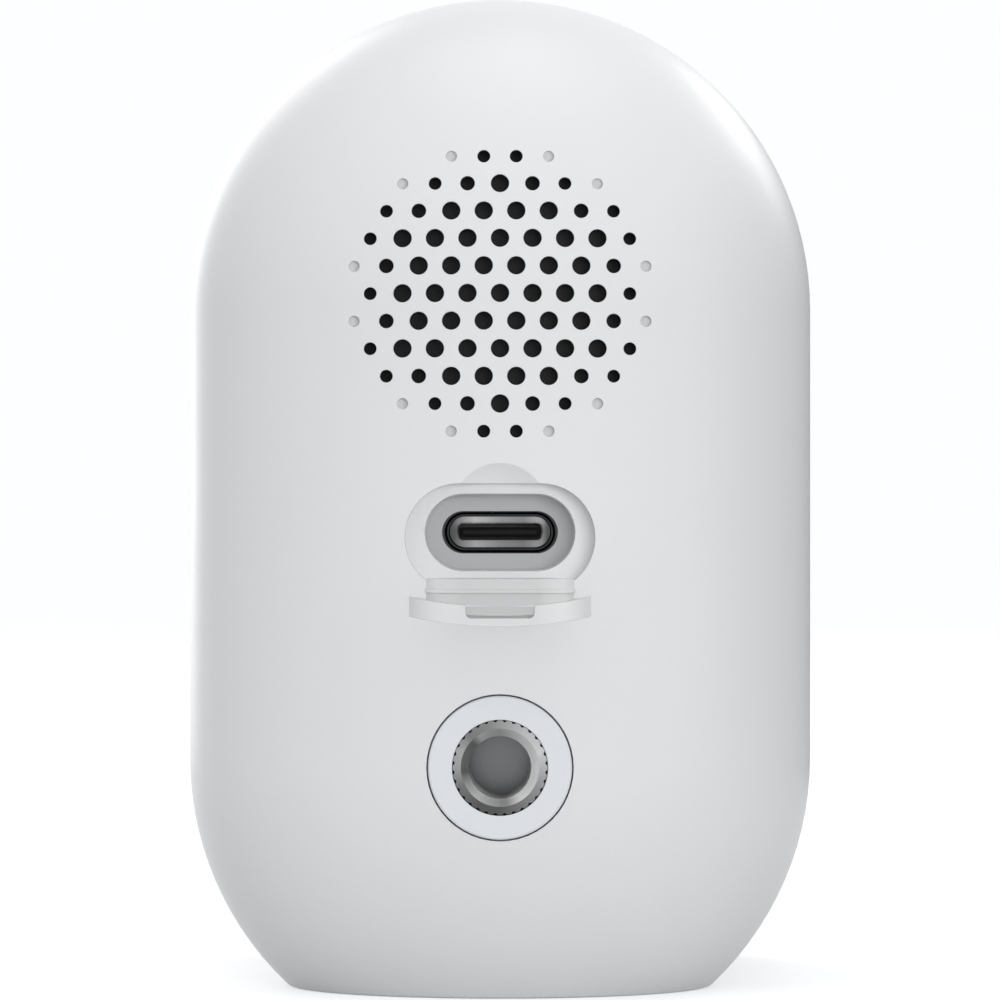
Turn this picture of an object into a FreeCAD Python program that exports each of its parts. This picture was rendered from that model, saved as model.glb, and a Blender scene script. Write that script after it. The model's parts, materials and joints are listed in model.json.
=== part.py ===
import FreeCAD, Part
import math
import os

# A palm-size wireless camera with a talk-back speaker, in millimetres.
# +Z is up, the front faces -Y and the rear faces +Y.
# The origin is the centre of the flat base.

Vector = FreeCAD.Vector

# ---- body shell -------------------------------------------------------------
body_width = 52.6
body_depth = 50.0
dome_depth = 18.2
lower_arc_height = 19.35
arc_spacing = 37.85
wall = 2.0
base_thickness = 2.4
base_edge_radius = 1.0
front_edge_radius = 1.8
frame_depth = 7.0
seam_chamfer = 0.2

# ---- speaker grille ---------------------------------------------------------
grille_rise = 0.8
grille_column_pitch = 2.65
grille_row_pitch = 2.25
grille_rows = 11
# hole diameter and how far its centres stay inside the speaker's rim
grille_holes = [(1.5, 3.05), (1.2, 2.44), (1.05, 0.4)]
dimple_diameter = 0.9
dimple_depth = 0.5

# ---- charging port ----------------------------------------------------------
port_height = 38.08
recess_width = 15.54
recess_height = 8.84
recess_depth = 1.7
well_width = 12.44
well_height = 6.4
well_depth = 2.6
well_draft = 0.18
well_rise = 0.42
well_overrun = 0.5
port_floor = 1.4
port_side_wall = 1.2
dish_radius = 4.37
dish_depth = 1.4
dish_rise = 1.74
receptacle_width = 8.34
receptacle_height = 2.56
receptacle_metal = 0.3
receptacle_setback = 0.5
receptacle_clearance = 0.08
receptacle_length = 8.6
tongue_width = 6.69
tongue_thickness = 0.7
tongue_setback = 0.6
tongue_base_length = 2.2
contact_pitch = 0.5
contact_count = 12
contact_width = 0.25
contact_thickness = 0.05
contact_length = 4.0
contact_setback = 0.5
usb_seal_width = 1.2
usb_seal_length = 2.15
usb_seal_clearance = 0.05

# ---- port flap --------------------------------------------------------------
flap_thickness = 1.58
flap_clearance = 0.42
flap_root_rise = 1.04
plug_clearance = 0.27
plug_top_clearance = 0.35
plug_length = 2.2
rib_proud = 0.12
rib_height = 0.33
rib_setback = 0.83
thumb_notch_width = 5.5
thumb_notch_depth = 0.95
thumb_notch_length = 1.2
hinge_inset = 1.65
hinge_drop = 0.95
web_width = 7.0
web_thickness = 0.5
web_bend_radius = 1.25
web_bend_reach = 1.1
anchor_width = 9.6
anchor_thickness = 0.75
anchor_rise = 0.3
anchor_height = 0.44
stem_spacing = 6.4
stem_radius = 0.4
stem_clearance = 0.06
barb_radius = 0.8
barb_length = 0.9

# ---- tripod insert ----------------------------------------------------------
thread_radius = 2.55
thread_length = 7.5
thread_mouth_radius = 3.19
insert_radius = 3.865
insert_length = 9.0
insert_setback = 0.5
insert_boss_radius = 7.6
insert_clearance = 0.03
knurl_count = 32
knurl_radius = 0.16
trim_ring_radius = 5.86
trim_ring_gap = 0.14
trim_ring_setback = 0.22
trim_ring_height = 2.2
trim_ring_edge = 0.12

# ---- speaker ----------------------------------------------------------------
speaker_radius = 14.0
speaker_seat_depth = 6.4
speaker_boss_wall = 1.3
gasket_thickness = 0.5
gasket_width = 1.6
rim_width = 1.8
rim_thickness = 1.0
basket_depth = 3.7
basket_wall = 0.8
surround_width = 1.9
surround_roll = 0.5
surround_thickness = 0.25
ledge_width = 0.8
ledge_depth = 0.65
cone_thickness = 0.3
cone_slope = 1.0
coil_radius = 5.0
coil_thickness = 0.4
coil_length = 2.4
coil_gap = 0.4
yoke_wall = 1.4
yoke_floor = 1.0
yoke_height = 3.0
top_plate_thickness = 0.8
top_plate_overhang = 0.2
speaker_ear_gap = 3.2
speaker_post_radius = 1.8
clamp_ring_thickness = 1.0
clamp_ring_lap = 1.2
mesh_thickness = 0.3
mesh_clearance = 0.05
speaker_post_clearance = 0.4
shell_clearance = 0.3
vent_count = 6
vent_width = 4.4

# ---- battery and core frame -------------------------------------------------
cell_radius = 9.2
cell_length = 65.2
cell_spacing = 18.8
cell_depth = 0.2
cell_bottom = 5.6
cell_clearance = 0.15
tab_thickness = 0.2
tab_width = 7.0
frame_wall = 1.2
cell_side_wall = 1.0
frame_corner_radius = 7.0
cell_edge_radius = 0.8
cell_button_radius = 3.2
cell_button_height = 0.8
strap_width = 6.0
strap_thickness = 1.1
strap_heights = (17.0, 59.0)
strap_end_gap = 1.0
strap_ledge = 5.0
ear_overhang = 2.4
ear_root = 3.0
ear_thickness = 2.0
protection_board_width = 24.0
protection_board_front = 5.0
protection_board_rear = 4.0
battery_lead_radius = 0.55
battery_lead_pitch = 1.6
speaker_lead_radius = 0.5

# ---- boards -----------------------------------------------------------------
board_thickness = 0.8
board_standoff = 0.6
standoff_radius = 2.0
standoff_pilot = 3.0
main_board_top = 44.6
main_board_bottom = 5.0
main_board_margin = 8.4
board_gap = 0.8
sensor_board_width = 18.0
sensor_board_height = 23.6
main_screw_inset = 3.9
main_screw_rise = 8.5
main_screw_drop = 9.0
sensor_screw_inset = 2.1
sensor_screw_drop = 2.2
sensor_screw_rise = 2.0
usb_board_width = 23.0
usb_board_height = 13.0
usb_board_corner = 1.5
usb_post_spacing = 18.74
ribbon_width = 5.0
ribbon_thickness = 0.2
ribbon_x = 7.0
shield_size = (17.0, 13.0, 1.9)
shield_sheet = 0.25
shield_edge_radius = 0.4
shield_drop = 9.5
processor_size = (8.0, 8.0, 1.1)
processor_x = -3.0
memory_size = (4.5, 6.0, 0.9)
memory_x = 5.0
memory_rise = 2.0
inductor_size = (3.0, 2.4, 1.2)
inductor_x = 12.2
inductor_pitch = 4.2
wifi_size = (11.0, 3.6, 1.6)
wifi_rise = 7.0
wifi_edge_radius = 0.5
battery_socket_size = (4.4, 3.6, 2.2)
battery_socket_inset = 4.2
battery_socket_drop = 1.8
speaker_socket_size = (3.6, 4.0, 2.2)
speaker_socket_inset = 2.7
speaker_socket_drop = 2.4
ribbon_socket_size = (6.4, 3.0, 1.2)
ribbon_socket_rise = 3.0
camera_socket_size = (9.0, 2.4, 1.0)
camera_socket_margin = 1.5
flex_width = 8.0
flex_thickness = 0.2
flex_lap = 1.1
usb_socket_margin = 0.3
usb_socket_height = 2.4
status_light_size = (1.6, 0.8, 0.35)
light_sensor_size = (2.0, 2.0, 0.7)
light_sensor_x = -4.6
light_sensor_rise = 10.6
microphone_size = (3.5, 2.6, 1.0)
led_board_radius = 16.2
led_board_offset = 1.4

# ---- front ------------------------------------------------------------------
rim_face_width = 2.55
window_gap = 0.25
window_inset = 0.6
window_corner_radius = 6.0
window_thickness = 1.5
window_chamfer = 0.3
adhesive_thickness = 0.3
adhesive_width = 2.2
front_plate_thickness = 1.8
skirt_thickness = 1.7
skirt_length = 3.0
skirt_clearance = 0.15
skirt_notch_room = 1.6
seal_width = 1.0
seal_height = 1.2
closing_screw_inset = 5.3
closing_screw_angle = 30.5
closing_boss_radius = 2.3
closing_boss_length = 7.0
closing_boss_cap = 0.8
closing_rib_width = 3.2
frame_post_radius = 1.9
frame_post_inset = 5.1
frame_post_low = 30.0
frame_post_high = 48.0

# ---- lens and sensors -------------------------------------------------------
lens_front_radius = 6.6
lens_rear_radius = 5.4
lens_clearance = 0.4
lens_seat_clearance = 0.05
front_hole_clearance = 0.15
led_hole_radius = 2.3
led_post_radius = 1.6
led_post_spacing = 28.4
trim_outer_radius = 9.5
trim_lip_radius = 6.9
cover_glass_radius = 7.9
cover_glass_thickness = 1.0
trim_lip_thickness = 0.9
holder_width = 15.2
holder_height = 4.8
holder_corner_radius = 1.2
filter_slot_depth = 1.5
sensor_room = 10.0
sensor_room_depth = 1.2
sensor_size = (8.0, 7.2, 0.9)
bore_floor = 0.3
barrel_wall = 0.9
barrel_lip = 0.7
barrel_stop_radius = 3.4
barrel_setback = 0.2
filter_window = 5.6
filter_spacing = 6.6
filter_frame = 1.0
filter_thickness = 0.5
filter_clearance = 0.15
pir_height = 19.35
pir_lens_radius = 7.4
pir_flange_radius = 8.6
pir_flange_thickness = 0.6
pir_shell = 0.6
pir_clearance = 0.1
pir_can_radius = 4.6
pir_can_height = 4.2
led_circle_radius = 11.3
led_base_size = 3.2
led_dome_radius = 1.3
status_circle_radius = 11.6
light_pipe_radius = 1.1
light_pipe_clearance = 0.05
mic_hole_radius = 0.5
mic_hole_step = 0.2
mic_boot_radius = 2.2

# ---- base -------------------------------------------------------------------
pad_thickness = 1.0
pad_half_width = 13.5
pad_front = -9.5
pad_rear = 13.5
pad_corner_radius = 4.0
pad_clearance = 0.1
button_depth_position = -14.2
button_radius = 2.4
button_clearance = 0.2
button_recess = 0.4
button_flange = 1.0
button_flange_thickness = 0.6
button_travel = 0.35
button_edge_radius = 0.3
button_stem_gap = 0.05
switch_gap = 0.6
switch_width = 6.0
switch_height = 3.6
switch_reach = 1.8
button_stem_radius = 1.2
button_seal_thickness = 0.5

# ---- screws -----------------------------------------------------------------
small_screw_radius = 0.8
small_head_radius = 1.5
small_head_height = 0.8
small_screw_length = 3.0
closing_screw_radius = 1.1
closing_head_radius = 2.0
closing_head_height = 1.2
closing_screw_length = 9.2
closing_head_setback = 0.2
pilot_clearance = 0.03
screw_hole_clearance = 0.1
screw_tip_room = 0.2
cross_width = 0.44
cross_reach = 0.62

# ---- places that follow from the sizes above --------------------------------
small_hole_radius = small_screw_radius + screw_hole_clearance
body_radius = body_width / 2
front_y = -body_depth / 2
rear_y = body_depth / 2
dome_y = rear_y - dome_depth
lower_z = lower_arc_height
upper_z = lower_z + arc_spacing
top_z = upper_z + body_radius
parting_y = front_y + frame_depth

recess_bottom = port_height - recess_height / 2
well_z = port_height + well_rise
well_floor_y = rear_y - recess_depth - well_depth
port_back_y = well_floor_y - port_floor
shell_front_y = well_floor_y - receptacle_setback
usb_board_y = shell_front_y - receptacle_length
shell_width = receptacle_width + 2 * receptacle_metal
shell_height = receptacle_height + 2 * receptacle_metal
usb_post_x = usb_post_spacing / 2
hinge_y = rear_y - hinge_inset
hinge_z = recess_bottom - hinge_drop
anchor_bottom = recess_bottom + anchor_rise
anchor_top = anchor_bottom + anchor_height
recess_floor_y = rear_y - recess_depth

grille_z = upper_z + grille_rise
speaker_ear_reach = speaker_radius + speaker_ear_gap
rim_inner_radius = speaker_radius - rim_width
speaker_seat_y = rear_y - speaker_seat_depth
rim_front_y = speaker_seat_y - gasket_thickness
rim_back_y = rim_front_y - rim_thickness
ledge_y = rim_front_y - ledge_depth
gasket_inner_radius = speaker_radius - gasket_width
basket_floor_y = rim_back_y - basket_depth
cone_edge_radius = rim_inner_radius - ledge_width - surround_width
yoke_inner_radius = coil_radius + coil_thickness + coil_gap
yoke_outer_radius = yoke_inner_radius + yoke_wall
yoke_front_y = basket_floor_y + 1.2
yoke_back_y = yoke_front_y - yoke_height
magnet_radius = coil_radius - coil_gap

insert_face_y = rear_y - insert_setback
ring_face_y = rear_y - trim_ring_setback
insert_back_y = insert_face_y - insert_length

cell_x = cell_spacing / 2
cell_top = cell_bottom + cell_length
frame_half_width = cell_x + cell_radius + cell_side_wall
strap_reach = body_radius - wall - strap_end_gap
frame_back_y = cell_depth
frame_front_y = cell_depth - cell_radius - frame_wall
frame_bottom = cell_bottom - tab_thickness - frame_wall
frame_top = cell_top + tab_thickness + frame_wall
board_back_y = frame_front_y - board_standoff
board_front_y = board_back_y - board_thickness
main_board_half_width = body_radius - main_board_margin
main_screw_x = main_board_half_width - main_screw_inset
battery_socket_x = main_board_half_width - battery_socket_inset
speaker_socket_x = main_board_half_width - speaker_socket_inset
sensor_screw_x = sensor_board_width / 2 - sensor_screw_inset
sensor_board_bottom = main_board_top + board_gap
sensor_board_top = sensor_board_bottom + sensor_board_height
shield_z = main_board_top - shield_drop
switch_z = main_board_bottom + switch_gap
usb_board_bottom = port_height - usb_board_height / 2
strap_ear_x = (frame_half_width + strap_reach) / 2

window_front_y = front_y + window_inset
window_back_y = window_front_y + window_thickness
plate_front_y = window_back_y + adhesive_thickness
plate_back_y = plate_front_y + front_plate_thickness
holder_front_y = board_front_y - holder_height
filter_slot_y = board_front_y - filter_slot_depth
filter_slot_front_y = filter_slot_y - filter_thickness - 2 * filter_clearance
holder_bore_y = filter_slot_front_y - bore_floor
lens_tip_y = plate_front_y + barrel_setback
lens_z = upper_z
status_z = lens_z + status_circle_radius
mic_z = lens_z - status_circle_radius
closing_boss_end = parting_y + closing_boss_length
led_board_front_y = plate_back_y + led_board_offset
led_board_back_y = led_board_front_y + board_thickness
led_post_x = led_post_spacing / 2
closing_screw_reach = body_radius - closing_screw_inset
frame_post_offset = body_radius - frame_post_inset


# ---- plain solids -----------------------------------------------------------
def block(x_from, x_to, y_from, y_to, z_from, z_to):
    corner = Vector(x_from, y_from, z_from)
    return Part.makeBox(x_to - x_from, y_to - y_from, z_to - z_from, corner)


def rod_y(radius, y_from, y_to, x=0, z=0):
    return Part.makeCylinder(radius, y_to - y_from, Vector(x, y_from, z), Vector(0, 1, 0))


def rod_z(radius, z_from, z_to, x=0, y=0):
    return Part.makeCylinder(radius, z_to - z_from, Vector(x, y, z_from))


def tube_y(outer, inner, y_from, y_to, x=0, z=0):
    return rod_y(outer, y_from, y_to, x, z).cut(rod_y(inner, y_from - 1, y_to + 1, x, z))


# A solid turned round an axis along Y, from (radius, y) corners.
def turned(corners, z=0, x=0):
    points = [Vector(x + radius, y, z) for radius, y in corners]
    face = Part.Face(Part.makePolygon(points + points[:1]))
    return face.revolve(Vector(x, 0, z), Vector(0, 1, 0), 360)


# A slot lying along X, as an outline at one depth.
def slot_outline(width, height, y, z):
    radius = height / 2
    reach = width / 2 - radius
    low_left = Vector(-reach, y, z - radius)
    low_right = Vector(reach, y, z - radius)
    high_right = Vector(reach, y, z + radius)
    high_left = Vector(-reach, y, z + radius)
    right = Part.Arc(low_right, Vector(width / 2, y, z), high_right)
    left = Part.Arc(high_left, Vector(-width / 2, y, z), low_left)
    edges = [Part.LineSegment(low_left, low_right), right, Part.LineSegment(high_right, high_left), left]
    return Part.Wire([edge.toShape() for edge in edges])


def slot_prism(width, height, y_from, y_to, z):
    return Part.Face(slot_outline(width, height, y_from, z)).extrude(Vector(0, y_to - y_from, 0))


# The body's upright outline, moved inwards by an inset.
def body_outline(inset, y):
    radius = body_radius - inset
    low_left = Vector(-radius, y, lower_z)
    low_right = Vector(radius, y, lower_z)
    high_right = Vector(radius, y, upper_z)
    high_left = Vector(-radius, y, upper_z)
    bottom = Part.Arc(low_left, Vector(0, y, lower_z - radius), low_right)
    top = Part.Arc(high_right, Vector(0, y, upper_z + radius), high_left)
    edges = [bottom, Part.LineSegment(low_right, high_right), top, Part.LineSegment(high_left, low_left)]
    return Part.Wire([edge.toShape() for edge in edges])


def body_prism(inset, y_from, y_to):
    return Part.Face(body_outline(inset, y_from)).extrude(Vector(0, y_to - y_from, 0))


def above(shape, z):
    reach = 2 * top_z
    return shape.common(block(-reach, reach, -reach, reach, z, reach))


# The body's outline with a flat foot of its own, as a plate along Y.
def footed_prism(inset, foot_z, y_from, y_to):
    return above(body_prism(inset, y_from, y_to), foot_z)


# A closed band that follows the outline at one inset.
def outline_band(inset, foot_z, width, y_from, y_to):
    hole = footed_prism(inset + width, foot_z + width, y_from - 1, y_to + 1)
    return footed_prism(inset, foot_z, y_from, y_to).cut(hole)


# The window's outline, with its two lower corners rounded.
def window_form(inset, y_from, y_to):
    plate = footed_prism(inset, inset, y_from, y_to)
    corners = [edge for edge in plate.Edges
               if edge.BoundBox.YLength > (y_to - y_from) / 2 and edge.BoundBox.ZMax < inset + 0.01]
    return plate.makeFillet(window_corner_radius - inset, corners)


def in_front_of(shape, y):
    reach = 2 * top_z
    return shape.common(block(-reach, reach, -reach, y, -reach, reach))


def behind(shape, y):
    reach = 2 * top_z
    return shape.common(block(-reach, reach, y, reach, -reach, reach))


# The body with its elliptical rear dome, moved inwards by an inset.
# Each end is a cylinder and a flattened ball; the middle is the same section drawn straight up.
def dome_body(inset, y_from):
    radius = body_radius - inset
    depth = dome_depth - inset
    ellipse = Part.Ellipse(Vector(0, dome_y, lower_z), radius, depth)
    right_front = Vector(radius, y_from, lower_z)
    right_start = Vector(radius, dome_y, lower_z)
    left_front = Vector(-radius, y_from, lower_z)
    left_start = Vector(-radius, dome_y, lower_z)
    edges = [Part.makeLine(left_front, right_front), Part.makeLine(right_front, right_start),
             Part.Arc(ellipse, 0, math.pi).toShape(), Part.makeLine(left_start, left_front)]
    middle = Part.Face(Part.Wire(edges)).extrude(Vector(0, 0, arc_spacing))
    flatten = FreeCAD.Matrix()
    flatten.scale(1, depth / radius, 1)
    ends = []
    for z in (lower_z, upper_z):
        ball = Part.makeSphere(radius).transformGeometry(flatten)
        ball.translate(Vector(0, dome_y, z))
        ends += [ball, rod_y(radius, y_from, dome_y, 0, z)]
    return middle.multiFuse(ends).removeSplitter()


# A machine screw along Y with a cross recess. Its shank points towards +Y or -Y.
def screw(x, z, seat_y, towards, shank_radius, head_radius, head_height, length):
    head_y = seat_y - towards * head_height
    tip_y = seat_y + towards * length
    head = rod_y(head_radius, min(head_y, seat_y), max(head_y, seat_y), x, z)
    shank = rod_y(shank_radius, min(tip_y, seat_y), max(tip_y, seat_y), x, z)
    slot = head_radius * cross_width / 2
    reach = head_radius * cross_reach
    recess_y = head_y + towards * head_height / 2
    low_y = min(head_y, recess_y)
    high_y = max(head_y, recess_y)
    cross = block(x - reach, x + reach, low_y, high_y, z - slot, z + slot)
    cross = cross.fuse(block(x - slot, x + slot, low_y, high_y, z - reach, z + reach))
    return head.fuse(shank).cut(cross)


def small_screw(x, z, seat_y, towards, length=small_screw_length):
    return screw(x, z, seat_y, towards, small_screw_radius, small_head_radius, small_head_height, length)


def pilot(x, z, seat_y, towards, length=small_screw_length, radius=small_screw_radius):
    end_y = seat_y + towards * (length + screw_tip_room)
    return rod_y(radius + pilot_clearance, min(seat_y, end_y), max(seat_y, end_y), x, z)


# A path of straight runs joined by tangent arcs.
def soft_path(points):
    corners = [Vector(*point) for point in points]
    edges = []
    start = corners[0]
    for before, corner, after in zip(corners, corners[1:], corners[2:]):
        run_in = corner - before
        run_out = after - corner
        trim = 0.45 * min(run_in.Length, run_out.Length)
        half_turn = run_in.getAngle(run_out) / 2
        bend_radius = trim / math.tan(half_turn)
        run_in.normalize()
        run_out.normalize()
        inward = (run_out - run_in).normalize()
        middle = corner + inward * (bend_radius / math.cos(half_turn) - bend_radius)
        arc_start = corner - run_in * trim
        arc_end = corner + run_out * trim
        edges.append(Part.makeLine(start, arc_start))
        edges.append(Part.Arc(arc_start, middle, arc_end).toShape())
        start = arc_end
    edges.append(Part.makeLine(start, corners[-1]))
    return Part.Wire(edges)


def wire_lead(points, radius):
    direction = Vector(*points[1]) - Vector(*points[0])
    section = Part.Wire([Part.makeCircle(radius, Vector(*points[0]), direction)])
    return soft_path(points).makePipeShell([section], True, False)


def carved(shape, cutters):
    for cutter in cutters:
        shape = shape.cut(cutter)
    return shape


def group(shapes):
    return Part.makeCompound(shapes)


def export(name, shape):
    shape.exportStep(f"parts/{name}.step")


os.makedirs("parts", exist_ok=True)


# ---- shell ------------------------------------------------------------------
def closing_screw_places():
    reach_x = closing_screw_reach * math.cos(math.radians(closing_screw_angle))
    reach_z = closing_screw_reach * math.sin(math.radians(closing_screw_angle))
    return [(side * reach_x, z) for side in (-1, 1) for z in (upper_z + reach_z, lower_z - reach_z)]


def frame_post_places():
    return [(side * frame_post_offset, z) for side in (-1, 1) for z in (frame_post_low, frame_post_high)]


# The whole outer form with its rounded base and front edges.
def outer_form():
    form = dome_body(0, front_y)
    front = [edge for edge in form.Edges if edge.BoundBox.YMax < front_y + 0.01]
    form = above(form.makeFillet(front_edge_radius, front), 0)
    base = [edge for edge in form.Edges if edge.BoundBox.ZMax < 0.01]
    return form.makeFillet(base_edge_radius, base)


# The joint between the two shell halves has a small chamfer on both sides.
def seam_softened(half):
    seam = [edge for edge in half.Edges
            if abs(edge.BoundBox.YMin - parting_y) < 0.01 and abs(edge.BoundBox.YMax - parting_y) < 0.01]
    return half.makeChamfer(seam_chamfer, seam)


def grille_cutters():
    cutters = []
    for row in range(grille_rows):
        row_step = row - (grille_rows - 1) // 2
        shift = 0.5 if row_step % 2 else 0
        for column in range(-grille_rows, grille_rows):
            x = (column + shift) * grille_column_pitch
            z = row_step * grille_row_pitch
            distance = math.hypot(x, z)
            fitting = [diameter for diameter, inset in grille_holes if distance <= rim_inner_radius - inset]
            if fitting:
                cutters.append(rod_y(fitting[0] / 2, speaker_seat_y, rear_y + 1, x, grille_z + z))
            elif distance <= rim_inner_radius:
                dimple = rod_y(dimple_diameter / 2, speaker_seat_y, rear_y + 1, x, grille_z + z)
                cutters.append(dimple.cut(dome_body(dimple_depth, front_y)))
    return cutters


def port_well():
    mouth = slot_outline(well_width, well_height, recess_floor_y + well_overrun, well_z)
    floor_width = well_width - 2 * well_draft
    floor_height = well_height - 2 * well_draft
    floor = slot_outline(floor_width, floor_height, well_floor_y, well_z)
    return Part.makeLoft([floor, mouth], True, True)


def port_recess():
    prism = slot_prism(recess_width, recess_height, dome_y, rear_y + 1, port_height)
    return prism.cut(dome_body(recess_depth, front_y))


def finger_dish():
    ball_radius = (dish_radius ** 2 + dish_depth ** 2) / (2 * dish_depth)
    center = Vector(0, rear_y - dish_depth + ball_radius, port_height + dish_rise)
    return Part.makeSphere(ball_radius, center)


def stem_places():
    return [(side * stem_spacing / 2, (anchor_bottom + anchor_top) / 2) for side in (-1, 1)]


def housing_bosses():
    boss_radius = speaker_radius + speaker_boss_wall
    bosses = [tube_y(boss_radius, gasket_inner_radius, speaker_seat_y, rear_y, 0, grille_z)]
    port_width = recess_width + 2 * port_side_wall
    port_rise = recess_height + 2 * port_side_wall
    bosses.append(slot_prism(port_width, port_rise, port_back_y, rear_y, port_height))
    bosses.append(rod_y(insert_boss_radius, insert_back_y - port_floor, rear_y, 0, lower_z))
    for side in (-1, 1):
        bosses.append(rod_y(speaker_post_radius, rim_back_y, rear_y, side * speaker_ear_reach, grille_z))
        bosses.append(rod_y(speaker_post_radius, usb_board_y, rear_y, side * usb_post_x, port_height))
    for x, z in closing_screw_places():
        center = Vector(0, 0, upper_z if z > upper_z else lower_z)
        outward = Vector(x, 0, z) - center
        bosses.append(rod_y(closing_boss_radius, parting_y, closing_boss_end, x, z))
        rib = block(0, body_radius, parting_y, closing_boss_end, -closing_rib_width / 2,
                    closing_rib_width / 2)
        rib.rotate(Vector(0, 0, 0), Vector(0, 1, 0), -math.degrees(math.atan2(outward.z, outward.x)))
        rib.translate(center)
        bosses.append(rib.cut(body_prism(closing_screw_inset, front_y, rear_y)))
    return bosses


def rear_housing(form):
    inside = above(dome_body(wall, front_y), base_thickness)
    shell = seam_softened(behind(form, parting_y)).cut(inside)
    kept = above(dome_body(wall / 2, parting_y), base_thickness / 2)
    shell = shell.multiFuse([boss.common(kept) for boss in housing_bosses()])
    shell = shell.cut(grille_cutters())
    cutters = [port_recess(), port_well(), finger_dish()]
    cutters.append(slot_prism(shell_width + 2 * receptacle_clearance,
                              shell_height + 2 * receptacle_clearance,
                              port_back_y - 1, well_floor_y + 1, well_z))
    for x, z in stem_places():
        cutters.append(rod_y(stem_radius + stem_clearance, port_back_y - 1, rear_y, x, z))
    cutters.append(rod_y(insert_radius + insert_clearance, insert_back_y, rear_y + 1, 0, lower_z))
    ring_seat_y = ring_face_y - trim_ring_height
    cutters.append(rod_y(trim_ring_radius + trim_ring_gap, ring_seat_y, rear_y + 1, 0, lower_z))
    for side in (-1, 1):
        cutters.append(pilot(side * speaker_ear_reach, grille_z, rim_back_y, 1, small_screw_length - 1))
        cutters.append(pilot(side * usb_post_x, port_height, usb_board_y, 1))
    pilot_end_y = closing_boss_end - closing_boss_cap
    for x, z in closing_screw_places():
        cutters.append(rod_y(closing_screw_radius + pilot_clearance, parting_y - 1, pilot_end_y, x, z))
    cutters.append(pad_form(0))
    hole_radius = button_radius + button_clearance
    cutters.append(rod_z(hole_radius, -1, base_thickness + 1, 0, button_depth_position))
    return carved(shell, cutters)


def pad_form(clearance):
    pad = block(-pad_half_width + clearance, pad_half_width - clearance, pad_front + clearance,
                pad_rear - clearance, 0, pad_thickness)
    upright = [edge for edge in pad.Edges if edge.BoundBox.ZLength > pad_thickness / 2]
    return pad.makeFillet(pad_corner_radius, upright)


def front_frame(form):
    frame = seam_softened(in_front_of(form, parting_y))
    frame = frame.cut(window_form(rim_face_width, front_y - 1, plate_front_y))
    skirt_inset = wall + skirt_clearance
    skirt_foot = base_thickness + skirt_clearance
    inside = footed_prism(skirt_inset + skirt_thickness, skirt_foot + skirt_thickness, plate_back_y,
                          parting_y + 1)
    frame = frame.cut(inside)
    skirt = outline_band(skirt_inset, skirt_foot, skirt_thickness, parting_y, parting_y + skirt_length)
    for x, z in closing_screw_places():
        skirt = skirt.cut(rod_y(closing_boss_radius + skirt_notch_room, parting_y, rear_y, x, z))
    button_room = button_radius + button_flange + shell_clearance
    skirt = skirt.cut(rod_z(button_room, 0, lower_z, 0, button_depth_position))
    frame = frame.fuse(skirt)
    posts = [rod_y(closing_boss_radius, plate_back_y, parting_y, x, z) for x, z in closing_screw_places()]
    posts += [rod_y(frame_post_radius, plate_back_y, frame_front_y, x, z) for x, z in frame_post_places()]
    posts += [rod_y(led_post_radius, plate_back_y, led_board_front_y, side * led_post_x,
                    lens_z) for side in (-1, 1)]
    frame = frame.multiFuse(posts)
    cutters = [rod_y(lens_front_radius + lens_clearance, plate_front_y - 1, plate_back_y + 1, 0, lens_z)]
    for x, z in led_places():
        cutters.append(rod_y(led_hole_radius, plate_front_y - 1, plate_back_y + 1, x, z))
    cutters.append(rod_y(light_pipe_radius + light_pipe_clearance, plate_front_y - 1, plate_back_y + 1, 0,
                         status_z))
    cutters.append(rod_y(mic_hole_radius + mic_hole_step, plate_front_y - 1, plate_back_y + 1, 0, mic_z))
    flange_back_y = plate_front_y + pir_flange_thickness
    cutters.append(rod_y(pir_flange_radius + pir_clearance, plate_front_y - 1, flange_back_y, 0,
                         pir_height))
    cutters.append(rod_y(pir_lens_radius - pir_shell, plate_front_y - 1, plate_back_y + 1, 0, pir_height))
    for x, z in closing_screw_places():
        seat_y = plate_front_y + closing_head_height + closing_head_setback
        cutters.append(rod_y(closing_head_radius + screw_hole_clearance, plate_front_y - 1, seat_y, x, z))
        cutters.append(rod_y(closing_screw_radius + screw_hole_clearance, seat_y - 1, parting_y + 1, x, z))
    for x, z in frame_post_places():
        cutters.append(pilot(x, z, frame_front_y, -1))
    for side in (-1, 1):
        cutters.append(pilot(side * led_post_x, lens_z, led_board_front_y, -1, small_screw_length - 1))
    cutters.append(seal_band())
    return carved(frame, cutters)


def seal_band():
    inset = (wall - seal_width) / 2
    return outline_band(inset, (base_thickness - seal_width) / 2, seal_width, parting_y - seal_height,
                        parting_y)


def front_window():
    window = window_form(rim_face_width + window_gap, window_front_y, window_back_y)
    front = [edge for edge in window.Edges if edge.BoundBox.YMax < window_front_y + 0.01]
    window = window.makeChamfer(window_chamfer, front)
    cutters = [rod_y(trim_outer_radius + front_hole_clearance, front_y - 1, window_back_y + 1, 0, lens_z)]
    cutters.append(rod_y(pir_lens_radius + front_hole_clearance, front_y - 1, window_back_y + 1, 0,
                         pir_height))
    cutters.append(rod_y(mic_hole_radius, front_y - 1, window_back_y + 1, 0, mic_z))
    return window.cut(cutters)


def window_adhesive():
    inset = rim_face_width + window_gap
    ring = window_form(inset, window_back_y, plate_front_y)
    ring = ring.cut(window_form(inset + adhesive_width, window_back_y - 1, plate_front_y + 1))
    return ring


# ---- charging port and its flap ---------------------------------------------
def usb_shell():
    outer = slot_prism(shell_width, shell_height, usb_board_y, shell_front_y, well_z)
    mouth = slot_prism(receptacle_width, receptacle_height, usb_board_y - 1, shell_front_y + 1, well_z)
    return outer.cut(mouth)


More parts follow.
